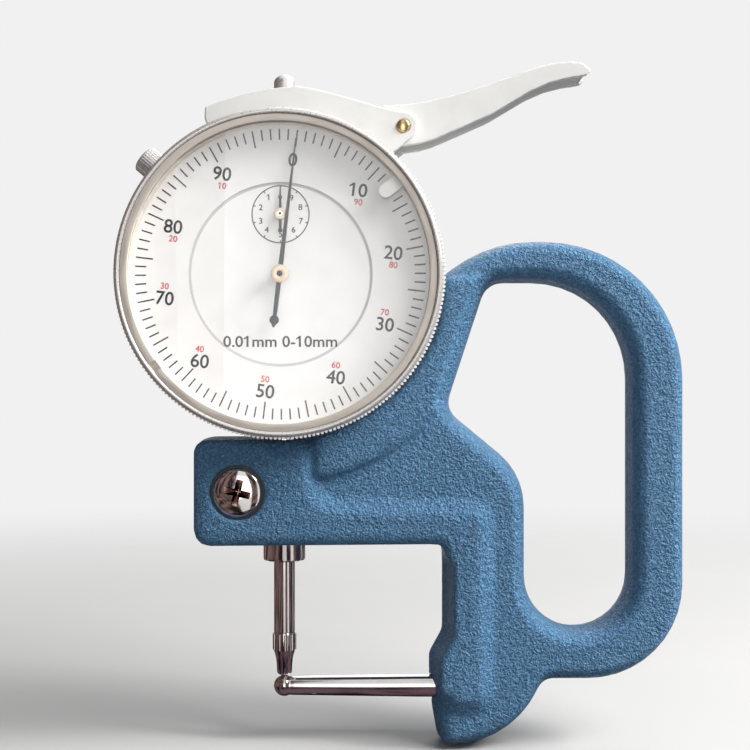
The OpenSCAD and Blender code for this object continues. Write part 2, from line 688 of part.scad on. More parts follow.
module bezel_ring() {
    knurl_y1 = bezel_y1 - 0.4;
    knurl_y0 = bezel_y1 - bezel_h * 0.6;
    color([0.9, 0.9, 0.9]) union() {
        yturn(0, dial_z) polygon([[spigot_r + 0.08, -bezel_y1], [rim_r, -bezel_y1], [rim_r, -bezel_y0 - 0.8],
            [rim_r - 0.2, -bezel_y0 - 0.3], [rim_r - 0.6, -bezel_y0], [lip_r + 0.25, -bezel_y0],
            [lip_r, -bezel_y0 - 0.25], [lip_r, -crystal_y0], [bore_r, -crystal_y0], [bore_r, -ring_y1],
            [clip_r + 0.2, -ring_y1], [clip_r + 0.2, -flange_y], [spigot_r + 0.08, -flange_y]]);
        translate([0, 0, dial_z]) slab(knurl_y0, knurl_y1) difference() {
            polygon(ridges(knurl_count, rim_r + 0.15, bezel_r));
            circle(r = rim_r - 0.4);
        }
    }
}

module scale_ring() {
    color([0.95, 0.94, 0.93]) yring(0, dial_z, inner_dial_r + 0.15, bore_r - 0.03, ring_y0, ring_y1);
}

module spacer_ring() {
    color([0.85, 0.84, 0.8]) yring(0, dial_z, limit_r0 + 0.1, bore_r - 0.03, crystal_y1, ring_y0);
}

module crystal() {
    color([0.9, 0.95, 0.97, 0.3]) ydisc(0, dial_z, bore_r - 0.03, crystal_y0, crystal_y1);
}

limit_a = 37.3;

module limit_ring() {
    color([0.86, 0.82, 0.76]) around(limit_a) difference() {
        union() {
            yring(0, 0, limit_r0, limit_r1, bezel_y0 + 0.3, crystal_y0 - 0.05);
            slab(crystal_y0 - 0.65, crystal_y0 - 0.2) union() {
                translate([limit_r0 - 3, -1.2]) square([3.2, 2.4]);
                translate([limit_r0 - 3, 0]) circle(r = 1.2);
            }
        }
        translate([-limit_r1 - 1, bezel_y0, -0.9]) cube([4, 3, 1.8]);
    }
}

// a spur wheel with trapezoid teeth and a tooth at the given angle
function teeth(n, phase) = [for (i = [0 : n - 1]) let (r = gear_m * n / 2, p = 360 / n, a = phase + i * p)
    each [(r - 1.1 * gear_m) * [cos(a - 0.30 * p), sin(a - 0.30 * p)],
        (r + 0.8 * gear_m) * [cos(a - 0.10 * p), sin(a - 0.10 * p)],
        (r + 0.8 * gear_m) * [cos(a + 0.10 * p), sin(a + 0.10 * p)],
        (r - 1.1 * gear_m) * [cos(a + 0.30 * p), sin(a + 0.30 * p)]]];

module centre_arbor() {
    color([0.7, 0.7, 0.72]) union() {
        ydisc(0, dial_z, 0.5, main_y0 - 0.45, rear_y1);
        translate([0, 0, dial_z]) slab(gear_b0 - 0.2, gear_a1 + 0.2) polygon(teeth(centre_n, centre_phase));
    }
}

module pointer_shape(length, tail, wide, tip, bulb) {
    union() {
        polygon([[-wide, 0], [wide, 0], [tip, length], [-tip, length]]);
        polygon([[-wide, 0], [-wide * 0.75, -tail], [wide * 0.75, -tail], [wide, 0]]);
        translate([0, -tail]) circle(r = bulb);
    }
}

module main_pointer() {
    color([0.15, 0.15, 0.16]) translate([0, 0, dial_z]) slab(main_y0, main_y1)
        rotate(-scale_turn) difference() {
        union() {
            pointer_shape(pointer_len, 8.4, 0.46, 0.11, 0.85);
            polygon([[-0.62, -8.8], [-0.12, -9.75], [0.12, -9.75], [0.62, -8.8]]);
            circle(r = 1.2);
        }
        circle(r = 0.8);
    }
}

module main_hub() {
    color([0.85, 0.74, 0.55]) difference() {
        union() {
            ydisc(0, dial_z, 0.8, main_y0 - 0.5, main_y1 + 0.4);
            ydisc(0, dial_z, 1.65, main_y0 - 0.5, main_y0);
            ydisc(0, dial_z, 1.2, main_y1, main_y1 + 0.4);
        }
        ydisc(0, dial_z, 0.5, main_y0 - 1, main_y1 + 1);
    }
}

module rack_wheel() {
    color([0.82, 0.7, 0.42]) translate([wheel_x, 0, wheel_z]) slab(gear_a0, gear_a1) difference() {
        polygon(teeth(wheel_n, mesh_a));
        circle(r = 0.7);
        for (a = [0 : 90 : 270]) rotate(a + 45) translate([5.4, 0]) circle(r = 2.6);
    }
}

module rack_arbor() {
    color([0.7, 0.7, 0.72]) union() {
        ydisc(wheel_x, wheel_z, 0.7, front_y0, 1.4);
        translate([wheel_x, 0, wheel_z]) slab(-1.3, 1.3) polygon(teeth(pinion_n, 0));
    }
}

module takeup_wheel() {
    color([0.82, 0.7, 0.42]) translate([0, 0, takeup_z]) slab(gear_b0, gear_b1) difference() {
        polygon(teeth(wheel_n, takeup_phase));
        circle(r = 0.5);
        for (a = [0 : 90 : 270]) rotate(a) translate([5.4, 0]) circle(r = 2.6);
    }
}

module takeup_arbor() {
    color([0.7, 0.7, 0.72]) union() {
        ydisc(0, takeup_z, 0.5, small_y0 - 0.4, rear_y1);
        ydisc(0, takeup_z, 0.9, hair_y0 - 0.1, gear_b0);
    }
}

module small_pointer() {
    color([0.15, 0.15, 0.16]) translate([0, 0, takeup_z]) slab(small_y0, small_y1) difference() {
        union() {
            pointer_shape(4.8, 3, 0.3, 0.1, 0.42);
            translate([0, 3]) circle(r = 0.36);
            circle(r = 1.05);
        }
        circle(r = 0.75);
    }
}

module small_hub() {
    color([0.85, 0.74, 0.55]) difference() {
        union() {
            ydisc(0, takeup_z, 0.75, small_y0 - 0.35, small_y1);
            ydisc(0, takeup_z, 1.05, small_y0 - 0.35, small_y0);
        }
        ydisc(0, takeup_z, 0.5, small_y0 - 1, small_y1 + 1);
    }
}

// upper edge of the lever, [x, height above the case]
lever_top = [[18.6, 3.5], [22.6, 3.75], [24.8, 3.95], [27, 4.3], [29.3, 4.85], [31.5, 5.35], [33.7, 6],
    [36, 6.75], [38.2, 7.4], [40.4, 8.2], [42.7, 9], [44.9, 9.85], [47.1, 10.6], [49.4, 11.2],
    [51.6, 11.6], [53.8, 11.75], [55.8, 11.45], [57.1, 10.5]];
lever_low = [[57.3, 9.9], [56.6, 9.2], [55.5, 8.95], [53, 8.6], [49.5, 7.7], [45.9, 6.1], [42.4, 4],
    [38.8, 1.85], [33.5, -0.5], [28.2, -2.8], [25.5, -3.6], [22.4, -4], [20.2, -3], [19, -1], [18.4, 1.5]];

function lifted(list) = [for (p = list) [p[0] + pivot_x - 22.4, case_top + p[1]]];

module lift_lever() {
    w = lever_w / 2;
    top = lifted(lever_top);
    n = len(top) - 1;
    under = [for (i = [n : -1 : 0]) [top[i][0] - (i == n ? 0.9 : 0), top[i][1] - lever_sheet]];
    color([0.93, 0.93, 0.92]) difference() {
        union() {
            for (y = [-w, w - lever_sheet]) slab(y, y + lever_sheet)
                polygon(concat(lifted(lever_low), top));
            slab(-w, w) polygon(concat(top, under));
            slab(-3, 3) polygon([[pivot_x - 1.9, case_top + 3.3], [12, case_top + 3.9],
                [4.5, case_top + 4.3], [-2.6, brim_z - 0.4], [-3.6, brim_z - 0.7],
                [-3.9, brim_z - 1.3], [-3.6, brim_z - 1.9], [4.5, case_top + 2.6],
                [12, case_top + 2], [pivot_x - 3, case_top + 1.2]]);
        }
        ydisc(pivot_x, pivot_z, pin_d / 2 + 0.05, -w - 1, w + 1);
        translate([-5, -1.5, case_top]) cube([9.4, 3, 6]);
    }
}

module lock_screw() {
    color([0.9, 0.9, 0.9]) around(lock_a) translate([case_in, lock_y, 0]) rotate([0, 90, 0]) union() {
        cylinder(r = 1.25, h = case_wall + 2.2);
        translate([0, 0, case_wall + 2]) cylinder(r = 2.3, h = 3.7);
        translate([0, 0, case_wall + 2.4]) linear_extrude(height = 2.9) polygon(ridges(28, 2.35, 2.6));
    }
}

frame_casting();
anvil();
clamp_screw();
stem();
lower_bush();
dial_case();
back_cover();
cover_screws();
upper_bush();
rear_plate();
case_screws();
front_plate();
plate_pillars();
pillar_screws();
pivot_jewels();
inner_dial();
bezel_clips();
clip_screws();
return_spring();
spring_post();
hairspring();
hairspring_stud();
lift_bracket();
bracket_screws();
pivot_pin();
lock_bush();
spindle_rod();
contact_point();
lift_cap();
guide_pin();
spring_arm();
bezel_ring();
scale_ring();
spacer_ring();
crystal();
limit_ring();
centre_arbor();
main_pointer();
main_hub();
rack_wheel();
rack_arbor();
takeup_wheel();
takeup_arbor();
small_pointer();
small_hub();
lift_lever();
lock_screw();
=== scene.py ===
import json
import math

import bmesh
import bpy
from mathutils import Matrix, Vector


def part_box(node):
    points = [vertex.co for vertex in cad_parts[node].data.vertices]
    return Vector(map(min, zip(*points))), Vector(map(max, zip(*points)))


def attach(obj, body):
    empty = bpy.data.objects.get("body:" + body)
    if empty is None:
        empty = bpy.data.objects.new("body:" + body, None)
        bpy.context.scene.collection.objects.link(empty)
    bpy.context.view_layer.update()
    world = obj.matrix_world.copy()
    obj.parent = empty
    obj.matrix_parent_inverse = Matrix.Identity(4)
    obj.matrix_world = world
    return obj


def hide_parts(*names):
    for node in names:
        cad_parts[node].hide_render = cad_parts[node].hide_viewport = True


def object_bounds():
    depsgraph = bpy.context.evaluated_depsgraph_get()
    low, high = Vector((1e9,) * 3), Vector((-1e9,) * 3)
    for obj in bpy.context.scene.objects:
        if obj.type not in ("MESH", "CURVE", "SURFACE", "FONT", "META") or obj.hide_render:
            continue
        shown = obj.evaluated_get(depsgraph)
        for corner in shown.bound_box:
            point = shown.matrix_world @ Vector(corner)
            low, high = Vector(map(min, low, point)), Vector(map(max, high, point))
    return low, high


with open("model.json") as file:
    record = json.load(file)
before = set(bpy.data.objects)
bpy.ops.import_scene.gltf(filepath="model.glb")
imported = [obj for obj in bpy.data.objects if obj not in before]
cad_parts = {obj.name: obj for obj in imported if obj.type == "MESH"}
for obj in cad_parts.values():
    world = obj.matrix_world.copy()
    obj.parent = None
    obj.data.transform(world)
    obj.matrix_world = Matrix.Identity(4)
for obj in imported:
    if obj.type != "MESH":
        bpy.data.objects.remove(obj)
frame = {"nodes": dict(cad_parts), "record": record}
cadLow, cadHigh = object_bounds()
cadNodes = frame["nodes"]
mm = 0.001
print("frame loaded:", len(cadNodes), "nodes")


def middle(node):
    low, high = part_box(node)
    return (low + high) / 2


dialAt = middle("crystal")       # centre of the main dial
subAt = middle("small_hub")      # centre of the turn counter
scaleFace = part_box("scale_ring")[0].y
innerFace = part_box("inner_dial")[0].y

# camera, from where the photograph was taken
viewpoint = {"at": (17.17, -230.0, 56.83), "lens": 58.18, "sensor": 36.0}
camera = bpy.data.cameras.new("camera")
camera.lens = viewpoint["lens"]
camera.sensor_width = viewpoint["sensor"]
camera.clip_start = 0.01
cameraObject = bpy.data.objects.new("camera", camera)
cameraObject.location = Vector(viewpoint["at"]) * mm
cameraObject.rotation_euler = (math.radians(90), 0, 0)
bpy.context.scene.collection.objects.link(cameraObject)
bpy.context.scene.camera = cameraObject
bpy.context.scene.view_settings.view_transform = "Standard"


# materials
def fromScreen(r, g, b):
    parts = [c / 255 for c in (r, g, b)]
    return tuple(c / 12.92 if c <= 0.04045 else ((c + 0.055) / 1.055) ** 2.4 for c in parts) + (1.0,)


def shaded(colour, share):
    return tuple(min(1.0, c * share) for c in colour[:3]) + (1.0,)


def startMaterial(name):
    material = bpy.data.materials.new(name)
    material.use_nodes = True
    tree = material.node_tree
    place = tree.nodes.new("ShaderNodeTexCoord").outputs["Object"]
    return material, tree, tree.nodes["Principled BSDF"], place


def grain(tree, place, size, detail=2.0, stretch=(1, 1, 1), warp=0.0):
    mapping = tree.nodes.new("ShaderNodeMapping")
    mapping.inputs["Scale"].default_value = stretch
    noise = tree.nodes.new("ShaderNodeTexNoise")
    noise.inputs["Scale"].default_value = 1 / (size * mm)
    noise.inputs["Detail"].default_value = detail
    noise.inputs["Distortion"].default_value = warp
    tree.links.new(place, mapping.inputs["Vector"])
    tree.links.new(mapping.outputs["Vector"], noise.inputs["Vector"])
    return noise.outputs["Fac"]


def between(tree, field, low, high, start=0.3, end=0.7):
    ramp = tree.nodes.new("ShaderNodeValToRGB")
    ramp.color_ramp.elements[0].position = start
    ramp.color_ramp.elements[1].position = end
    ramp.color_ramp.elements[0].color = low if len(low) == 4 else tuple(low) + (1.0,)
    ramp.color_ramp.elements[1].color = high if len(high) == 4 else tuple(high) + (1.0,)
    tree.links.new(field, ramp.inputs["Fac"])
    return ramp.outputs["Color"]


def level(value):
    return (value, value, value, 1.0)


def raiseBy(tree, shader, field, strength, depth):
    bump = tree.nodes.new("ShaderNodeBump")
    bump.inputs["Strength"].default_value = strength
    bump.inputs["Distance"].default_value = depth * mm
    tree.links.new(field, bump.inputs["Height"])
    tree.links.new(bump.outputs["Normal"], shader.inputs["Normal"])


def mixColour(tree, share, first, second, blend="MIX"):
    mix = tree.nodes.new("ShaderNodeMix")
    mix.data_type = "RGBA"
    mix.blend_type = blend
    for socket, value in ((mix.inputs[0], share), (mix.inputs[6], first), (mix.inputs[7], second)):
        if hasattr(value, "is_output"):
            tree.links.new(value, socket)
        else:
            socket.default_value = value
    return mix.outputs[2]


def wrinklePaint(name, look):
    material, tree, shader, place = startMaterial(name)
    fine = grain(tree, place, look["fine"], 2.0, warp=0.7)
    coarse = grain(tree, place, look["coarse"], 1.0, warp=0.4)
    broad = grain(tree, place, look["broad"], 2.0)
    dull, bright = (shaded(look["colour"], share) for share in look["speckle"])
    speckle = between(tree, fine, dull, bright, 0.36, 0.64)
    cloud = between(tree, broad, level(look["cloud"]), level(1.0), 0.35, 0.65)
    colour = mixColour(tree, 1.0, speckle, cloud, "MULTIPLY")
    geometry = tree.nodes.new("ShaderNodeNewGeometry")
    # lighter on convex edges and ridges: partly edge wear, partly painted highlight
    wearAndHighlight = between(tree, geometry.outputs["Pointiness"], level(0.0), level(1.0), 0.52, 0.62)
    tree.links.new(mixColour(tree, wearAndHighlight, colour, shaded(look["colour"], look["wearAndHighlight"])),
                   shader.inputs["Base Color"])
    tree.links.new(between(tree, coarse, level(look["rough"] - 0.07), level(look["rough"] + 0.08)),
                   shader.inputs["Roughness"])
    height = mixColour(tree, 0.6, between(tree, coarse, level(0), level(1), 0.36, 0.64),
                       between(tree, fine, level(0), level(1), 0.36, 0.64))
    shader.inputs["Specular IOR Level"].default_value = look["gloss"]
    raiseBy(tree, shader, height, look["lift"], look["depth"])
    return material


def evenPaint(name, look):
    material, tree, shader, place = startMaterial(name)
    broad = grain(tree, place, look.get("broad", 5.0), 3.0)
    peel = grain(tree, place, look.get("peel", 0.5), 2.0)
    tree.links.new(between(tree, broad, shaded(look["colour"], 0.955), look["colour"], 0.35, 0.6),
                   shader.inputs["Base Color"])
    tree.links.new(between(tree, peel, level(look["rough"] - 0.05), level(look["rough"] + 0.06)),
                   shader.inputs["Roughness"])
    shader.inputs["Metallic"].default_value = look.get("metal", 0.0)
    shader.inputs["Coat Weight"].default_value = look.get("coat", 0.0)
    raiseBy(tree, shader, peel, look.get("lift", 0.06), 0.03)
    return material


def turnedMetal(name, look):
    material, tree, shader, place = startMaterial(name)
    rings = grain(tree, place, 1.0, 4.0, look["stretch"])
    smudge = grain(tree, place, 4.0, 3.0)
    colour = between(tree, smudge, shaded(look["colour"], 0.90), look["colour"], 0.3, 0.65)
    if "recessShade" in look:      # painted shade: colour goes dark towards the recess shade colour in deep recesses
        hollow = tree.nodes.new("ShaderNodeAmbientOcclusion")
        hollow.only_local = True
        hollow.inputs["Distance"].default_value = look["reach"] * mm
        clear = between(tree, hollow.outputs["AO"], level(0), level(1), 0.55, 0.9)
        colour = mixColour(tree, clear, look["recessShade"], colour)
    tree.links.new(colour, shader.inputs["Base Color"])
    shader.inputs["Metallic"].default_value = 1.0
    tree.links.new(between(tree, rings, level(look["rough"] * 0.7), level(look["rough"] * 1.4)),
                   shader.inputs["Roughness"])
    raiseBy(tree, shader, rings, look.get("lift", 0.05), 0.02)
    return material


def clearGlass(name, look):
    material, tree, shader, place = startMaterial(name)
    shader.inputs["Base Color"].default_value = look["colour"]
    shader.inputs["Transmission Weight"].default_value = 1.0
    shader.inputs["IOR"].default_value = look["ior"]
    tree.links.new(between(tree, grain(tree, place, 9.0), level(0.0), level(look["haze"])),
                   shader.inputs["Roughness"])
    return material


plateLook = {"colour": (0.82, 0.79, 0.76, 1), "rough": 0.09, "stretch": (3, 3, 3)}
finishes = {
    "blue_paint": wrinklePaint("wrinkleBluePaint", {
        "colour": fromScreen(100, 149, 191), "fine": 0.46, "coarse": 0.9, "broad": 22.0,
        "rough": 0.40, "gloss": 0.3, "lift": 1.0, "depth": 0.48,
        "speckle": (0.74, 1.24), "cloud": 0.93, "wearAndHighlight": 1.25}),
    "steel": turnedMetal("groundSteel", {
        "colour": (0.74, 0.70, 0.68, 1), "rough": 0.10, "stretch": (12, 12, 12)}),
    "chrome": turnedMetal("brightPlate", plateLook),
    "plated_case": evenPaint("satinCase", {"colour": fromScreen(222, 222, 222), "rough": 0.36, "metal": 0.55}),
    "bezel_metal": evenPaint("satinBezel", {"colour": fromScreen(230, 227, 224), "rough": 0.3, "metal": 0.5}),
    "white_paint": evenPaint("whiteLeverPaint", {
        "colour": fromScreen(247, 246, 243), "rough": 0.34, "coat": 0.25}),
    "brass": turnedMetal("turnedBrass", {
        "colour": (0.78, 0.60, 0.32, 1), "rough": 0.22, "stretch": (10, 10, 10)}),
    "dial_white": evenPaint("dialEnamel", {
        "colour": fromScreen(232, 230, 229), "rough": 0.55, "peel": 0.25, "lift": 0.03}),
    "cream_ring": evenPaint("creamRing", {"colour": fromScreen(222, 212, 202), "rough": 0.5, "peel": 0.3}),
    "pointer_black": evenPaint("pointerBlack", {"colour": fromScreen(34, 34, 38), "rough": 0.38, "lift": 0.02}),
    "jewel": evenPaint("redStone", {"colour": fromScreen(150, 24, 52), "rough": 0.12, "coat": 0.6}),
    "crystal": clearGlass("dialCrystal", {"colour": (0.985, 0.99, 0.99, 1), "ior": 1.42, "haze": 0.012}),
}
# plate with painted shade in the clamp screw's cross recess
screwPlatePaintedShade = turnedMetal("screwPlatePaintedShade", dict(plateLook, recessShade=(0.24, 0.14, 0.12, 1), reach=2.5))
hubBrass = turnedMetal("dullBrass", {"colour": (0.60, 0.49, 0.38, 1), "rough": 0.36, "stretch": (8, 8, 8)})
blackInk = evenPaint("blackInk", {"colour": fromScreen(28, 28, 32), "rough": 0.6, "lift": 0.02, "broad": 1.5})
redInk = evenPaint("redInk", {"colour": fromScreen(206, 52, 58), "rough": 0.6, "lift": 0.02, "broad": 1.5})
slotOf = {row["node"]: row["material_slot"] for row in frame["record"]["subparts"]}
for nodeName, node in cadNodes.items():
    if not node.material_slots:
        node.data.materials.append(None)
    for place in node.material_slots:
        place.material = finishes[slotOf[nodeName]]
print("finishes:", len(finishes))

bodyOf = {name: body for body, names in frame["record"]["behaviour"]["bodies"].items() for name in names}


def addPiece(name, mesh, body, slot, stands=(), material=None):
    piece = bpy.data.objects.new(name, mesh)
    bpy.context.scene.collection.objects.link(piece)
    mesh.materials.clear()
    mesh.materials.append(material or finishes[slot])
    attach(piece, body)
    if stands:
        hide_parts(*stands)


def settled(mesh, modify):
    holder = bpy.data.objects.new("holder", mesh)
    bpy.context.scene.collection.objects.link(holder)
    modify(holder)
    graph = bpy.context.evaluated_depsgraph_get()
    result = bpy.data.meshes.new_from_object(holder.evaluated_get(graph))
    bpy.data.objects.remove(holder)
    return result


turnedAngle, copyAngle, gripAngle = 34, 32, 40      # edges sharper than these stay crisp


def softShade(mesh, angle):
    mesh.shade_smooth()
    mesh.set_sharp_from_angle(angle=math.radians(angle))
    return mesh


weld = 2e-7
edgeCut = {"flat": 1.5, "from": 38, "segments": 2}


def mergedCopy(node, name):
    mesh = cadNodes[node].data.copy()
    mesh.name = name
    work = bmesh.new()
    work.from_mesh(mesh)
    bmesh.ops.remove_doubles(work, verts=work.verts, dist=weld)
    bmesh.ops.dissolve_degenerate(work, edges=work.edges, dist=weld)
    work.to_mesh(mesh)
    work.free()
    for extra in [a.name for a in mesh.attributes if a.name == "custom_normal"]:
        mesh.attributes.remove(mesh.attributes[extra])
    return mesh


def edgedCopy(node, name, edge):
    mesh = mergedCopy(node, name)
    if edge:
        work = bmesh.new()
        work.from_mesh(mesh)
        bmesh.ops.dissolve_limit(work, angle_limit=math.radians(edgeCut["flat"]),
                                 verts=work.verts, edges=work.edges)
        work.to_mesh(mesh)
        work.free()

        def roundEdges(holder):
            bevel = holder.modifiers.new("edges", "BEVEL")
            bevel.width = edge * mm
            bevel.segments = edgeCut["segments"]
            bevel.limit_method = "ANGLE"
            bevel.angle_limit = math.radians(edgeCut["from"])
        mesh = settled(mesh, roundEdges)
    return softShade(mesh, copyAngle)


def moulded(node, name, voxel, steps):
    def soften(holder):
        remesh = holder.modifiers.new("skin", "REMESH")
        remesh.mode = "VOXEL"
        remesh.voxel_size = voxel * mm
        smooth = holder.modifiers.new("soft", "SMOOTH")
        smooth.factor = 0.5
        smooth.iterations = steps
    mesh = settled(mergedCopy(node, name), soften)
    mesh.shade_smooth()
    return mesh


def turnedMesh(name, profile, segments, place, closed=False):
    work = bmesh.new()
    rings = []
    for radius, height in profile:
        if radius < 1e-6:
            rings.append([work.verts.new((0, 0, height * mm))])
        else:
            rings.append([work.verts.new((radius * mm * math.cos(2 * math.pi * k / segments),
                                          radius * mm * math.sin(2 * math.pi * k / segments), height * mm))
                          for k in range(segments)])
    pairs = list(zip(rings, rings[1:])) + ([(rings[-1], rings[0])] if closed else [])
    for low, high in pairs:
        for k in range(segments):
            j = (k + 1) % segments
            loop = [low[k % len(low)], low[j % len(low)], high[j % len(high)], high[k % len(high)]]
            face = [v for i, v in enumerate(loop) if v not in loop[:i]]
            if len(face) > 2:
                work.faces.new(face)
    bmesh.ops.recalc_face_normals(work, faces=work.faces)
    mesh = bpy.data.meshes.new(name)
    work.transform(place)
    work.to_mesh(mesh)
    work.free()
    return softShade(mesh, turnedAngle)


def joinedMesh(name, meshes):
    work = bmesh.new()
    for mesh in meshes:
        work.from_mesh(mesh)
    for face in work.faces:
        face.material_index = 0
    mesh = bpy.data.meshes.new(name)
    work.to_mesh(mesh)
    work.free()
    return mesh


def facing(x, y, z):
    return Matrix.Translation(Vector((x, y, z))) @ Matrix.Rotation(math.radians(90), 4, "X")


# repeated marks and ridges
def newTree(name, inputs):
    tree = bpy.data.node_groups.new(name, "GeometryNodeTree")
    ids = {}
    for label, kind in inputs:
        socket = tree.interface.new_socket(name=label, in_out="INPUT", socket_type="NodeSocket" + kind)
        ids[label] = socket.identifier
    tree.interface.new_socket(name="Geometry", in_out="OUTPUT", socket_type="NodeSocketGeometry")
    return tree, ids, tree.nodes.new("NodeGroupInput"), tree.nodes.new("NodeGroupOutput")


def mathNode(tree, operation, first, second=None, third=None):
    node = tree.nodes.new("ShaderNodeMath")
    node.operation = operation
    for socket, value in zip(node.inputs, (first, second, third)):
        if value is None:
            continue
        if hasattr(value, "is_output"):
            tree.links.new(value, socket)
        else:
            socket.default_value = value
    return node.outputs[0]


def joinXyz(tree, x, y, z):
    node = tree.nodes.new("ShaderNodeCombineXYZ")
    for socket, value in zip(node.inputs, (x, y, z)):
        if hasattr(value, "is_output"):
            tree.links.new(value, socket)
        else:
            socket.default_value = value
    return node.outputs[0]


def finishTree(tree, source, target, points, shape, turn, scale, ink):
    instance = tree.nodes.new("GeometryNodeInstanceOnPoints")
    real = tree.nodes.new("GeometryNodeRealizeInstances")
    paint = tree.nodes.new("GeometryNodeSetMaterial")
    for value, socket in ((points, "Points"), (shape, "Instance"), (turn, "Rotation"), (scale, "Scale")):
        tree.links.new(value, instance.inputs[socket])
    tree.links.new(instance.outputs[0], real.inputs[0])
    tree.links.new(real.outputs[0], paint.inputs[0])
    tree.links.new(source.outputs[ink], paint.inputs["Material"])
    tree.links.new(paint.outputs[0], target.inputs[0])


def circlePoints(tree, source):
    circle = tree.nodes.new("GeometryNodeMeshCircle")
    tree.links.new(source.outputs["Count"], circle.inputs["Vertices"])
    tree.links.new(source.outputs["Radius"], circle.inputs["Radius"])
    position = tree.nodes.new("GeometryNodeInputPosition").outputs[0]
    split = tree.nodes.new("ShaderNodeSeparateXYZ")
    tree.links.new(position, split.inputs[0])
    turn = joinXyz(tree, 0, 0, mathNode(tree, "ARCTAN2", split.outputs[1], split.outputs[0]))
    return circle.outputs[0], position, turn


def buildMarkTree():
    tree, ids, source, target = newTree("radialMarks", (
        ("Count", "Int"), ("Radius", "Float"), ("Short", "Float"), ("Long", "Float"), ("Every", "Int"),
        ("Width", "Float"), ("Depth", "Float"), ("Ink", "Material")))
    points, position, turn = circlePoints(tree, source)
    index = tree.nodes.new("GeometryNodeInputIndex").outputs[0]
    isLong = mathNode(tree, "COMPARE", mathNode(tree, "MODULO", index, source.outputs["Every"]), 0, 0.5)
    extra = mathNode(tree, "SUBTRACT", source.outputs["Long"], source.outputs["Short"])
    length = mathNode(tree, "MULTIPLY_ADD", isLong, extra, source.outputs["Short"])
    unit = tree.nodes.new("ShaderNodeVectorMath")
    unit.operation = "NORMALIZE"
    tree.links.new(position, unit.inputs[0])
    inward = tree.nodes.new("ShaderNodeVectorMath")
    inward.operation = "SCALE"
    tree.links.new(unit.outputs[0], inward.inputs[0])
    tree.links.new(mathNode(tree, "MULTIPLY", length, -0.5), inward.inputs["Scale"])
    moved = tree.nodes.new("GeometryNodeSetPosition")
    tree.links.new(points, moved.inputs[0])
    tree.links.new(inward.outputs[0], moved.inputs["Offset"])
    block = tree.nodes.new("GeometryNodeMeshCube")
    scale = joinXyz(tree, length, source.outputs["Width"], source.outputs["Depth"])
    finishTree(tree, source, target, moved.outputs[0], block.outputs[0], turn, scale, "Ink")
    return tree, ids


ridgeSides = 8


def buildRidgeTree():
    tree, ids, source, target = newTree("gripRidges", (
        ("Count", "Int"), ("Radius", "Float"), ("Width", "Float"), ("Height", "Float"), ("Length", "Float"),
        ("Finish", "Material")))
    points, turn = circlePoints(tree, source)[::2]
    rod = tree.nodes.new("GeometryNodeMeshCylinder")
    rod.inputs["Vertices"].default_value = ridgeSides
    tree.links.new(mathNode(tree, "MULTIPLY", source.outputs["Width"], 0.5), rod.inputs["Radius"])
    tree.links.new(source.outputs["Length"], rod.inputs["Depth"])
    twice = mathNode(tree, "MULTIPLY", source.outputs["Height"], 2)
    stretch = mathNode(tree, "DIVIDE", twice, source.outputs["Width"])
    finishTree(tree, source, target, points, rod.outputs[0], turn, joinXyz(tree, stretch, 1, 1), "Finish")
    return tree, ids


markTree, markIds = buildMarkTree()
ridgeTree, ridgeIds = buildRidgeTree()


def grown(tree, ids, values, place):
    def grow(holder):
        modifier = holder.modifiers.new("grow", "NODES")
        modifier.node_group = tree
        for label, value in values.items():
            modifier[ids[label]] = value
    mesh = settled(bpy.data.meshes.new("seed"), grow)
    mesh.transform(place)
    return mesh


print("node trees:", markTree.name, ridgeTree.name)

# casting
casting = {"voxel": 0.36, "steps": 3, "wall": 29.8, "reach": 4.5, "low": -8.0, "high": 23.5,
           "draft": ((0, 0), (2.15, 0.8), (5, 1.25), (6.4, 1.45), (7.1, 1.0), (7.5, 0.5)),
           "column": 24, "wallFade": 3, "highFade": 2, "lowFade": 3,
           "end": (-13.0, 2.6, 0.85), "arm": 24, "lip": (28.2, 2.2), "sag": ((-16, 0.8), (28, 0.45), (29.6, 0.0))}


def share(part, whole):
    return min(1.0, max(0.0, part / whole))


def alongSteps(steps, at):
    for (x0, y0), (x1, y1) in zip(steps, steps[1:]):
        if at <= x1:
            return y0 + (y1 - y0) * (at - x0) / (x1 - x0)
    return steps[-1][1]


castingMesh = moulded("frame_casting", "frameCasting", casting["voxel"], casting["steps"])
for vertex in castingMesh.vertices:      # more draft on the throat side, where the mould parts
    x, y, z = vertex.co / mm
    near = share(casting["wall"] + casting["reach"] - x, casting["wallFade"])
    span = share(casting["high"] - z, casting["highFade"]) * share(z - casting["low"], casting["lowFade"])
    if x > casting["column"]:
        vertex.co.x += alongSteps(casting["draft"], abs(y)) * near * span * mm
    start, reach, grow = casting["end"]      # the arm's end and lower lip, a little fuller than the solid
    vertex.co.x -= share(start - x, reach) * grow * mm
    lip, fall = casting["lip"]
    if z > casting["arm"]:
        vertex.co.z -= share(lip - z, fall) * alongSteps(casting["sag"], x) * mm
addPiece("frameCasting", castingMesh, "frame", "blue_paint", ["frame_casting"])
print("casting done")

# lift bracket and lever, bent sheet with rounded paint edges
sheetMetal = {"voxel": 0.2, "steps": 5}
for node, name in (("lift_bracket", "liftBracket"), ("lift_lever", "liftLever")):
    addPiece(name, moulded(node, name, sheetMetal["voxel"], sheetMetal["steps"]), bodyOf[node],
             "white_paint", [node])
print("lever and bracket done")

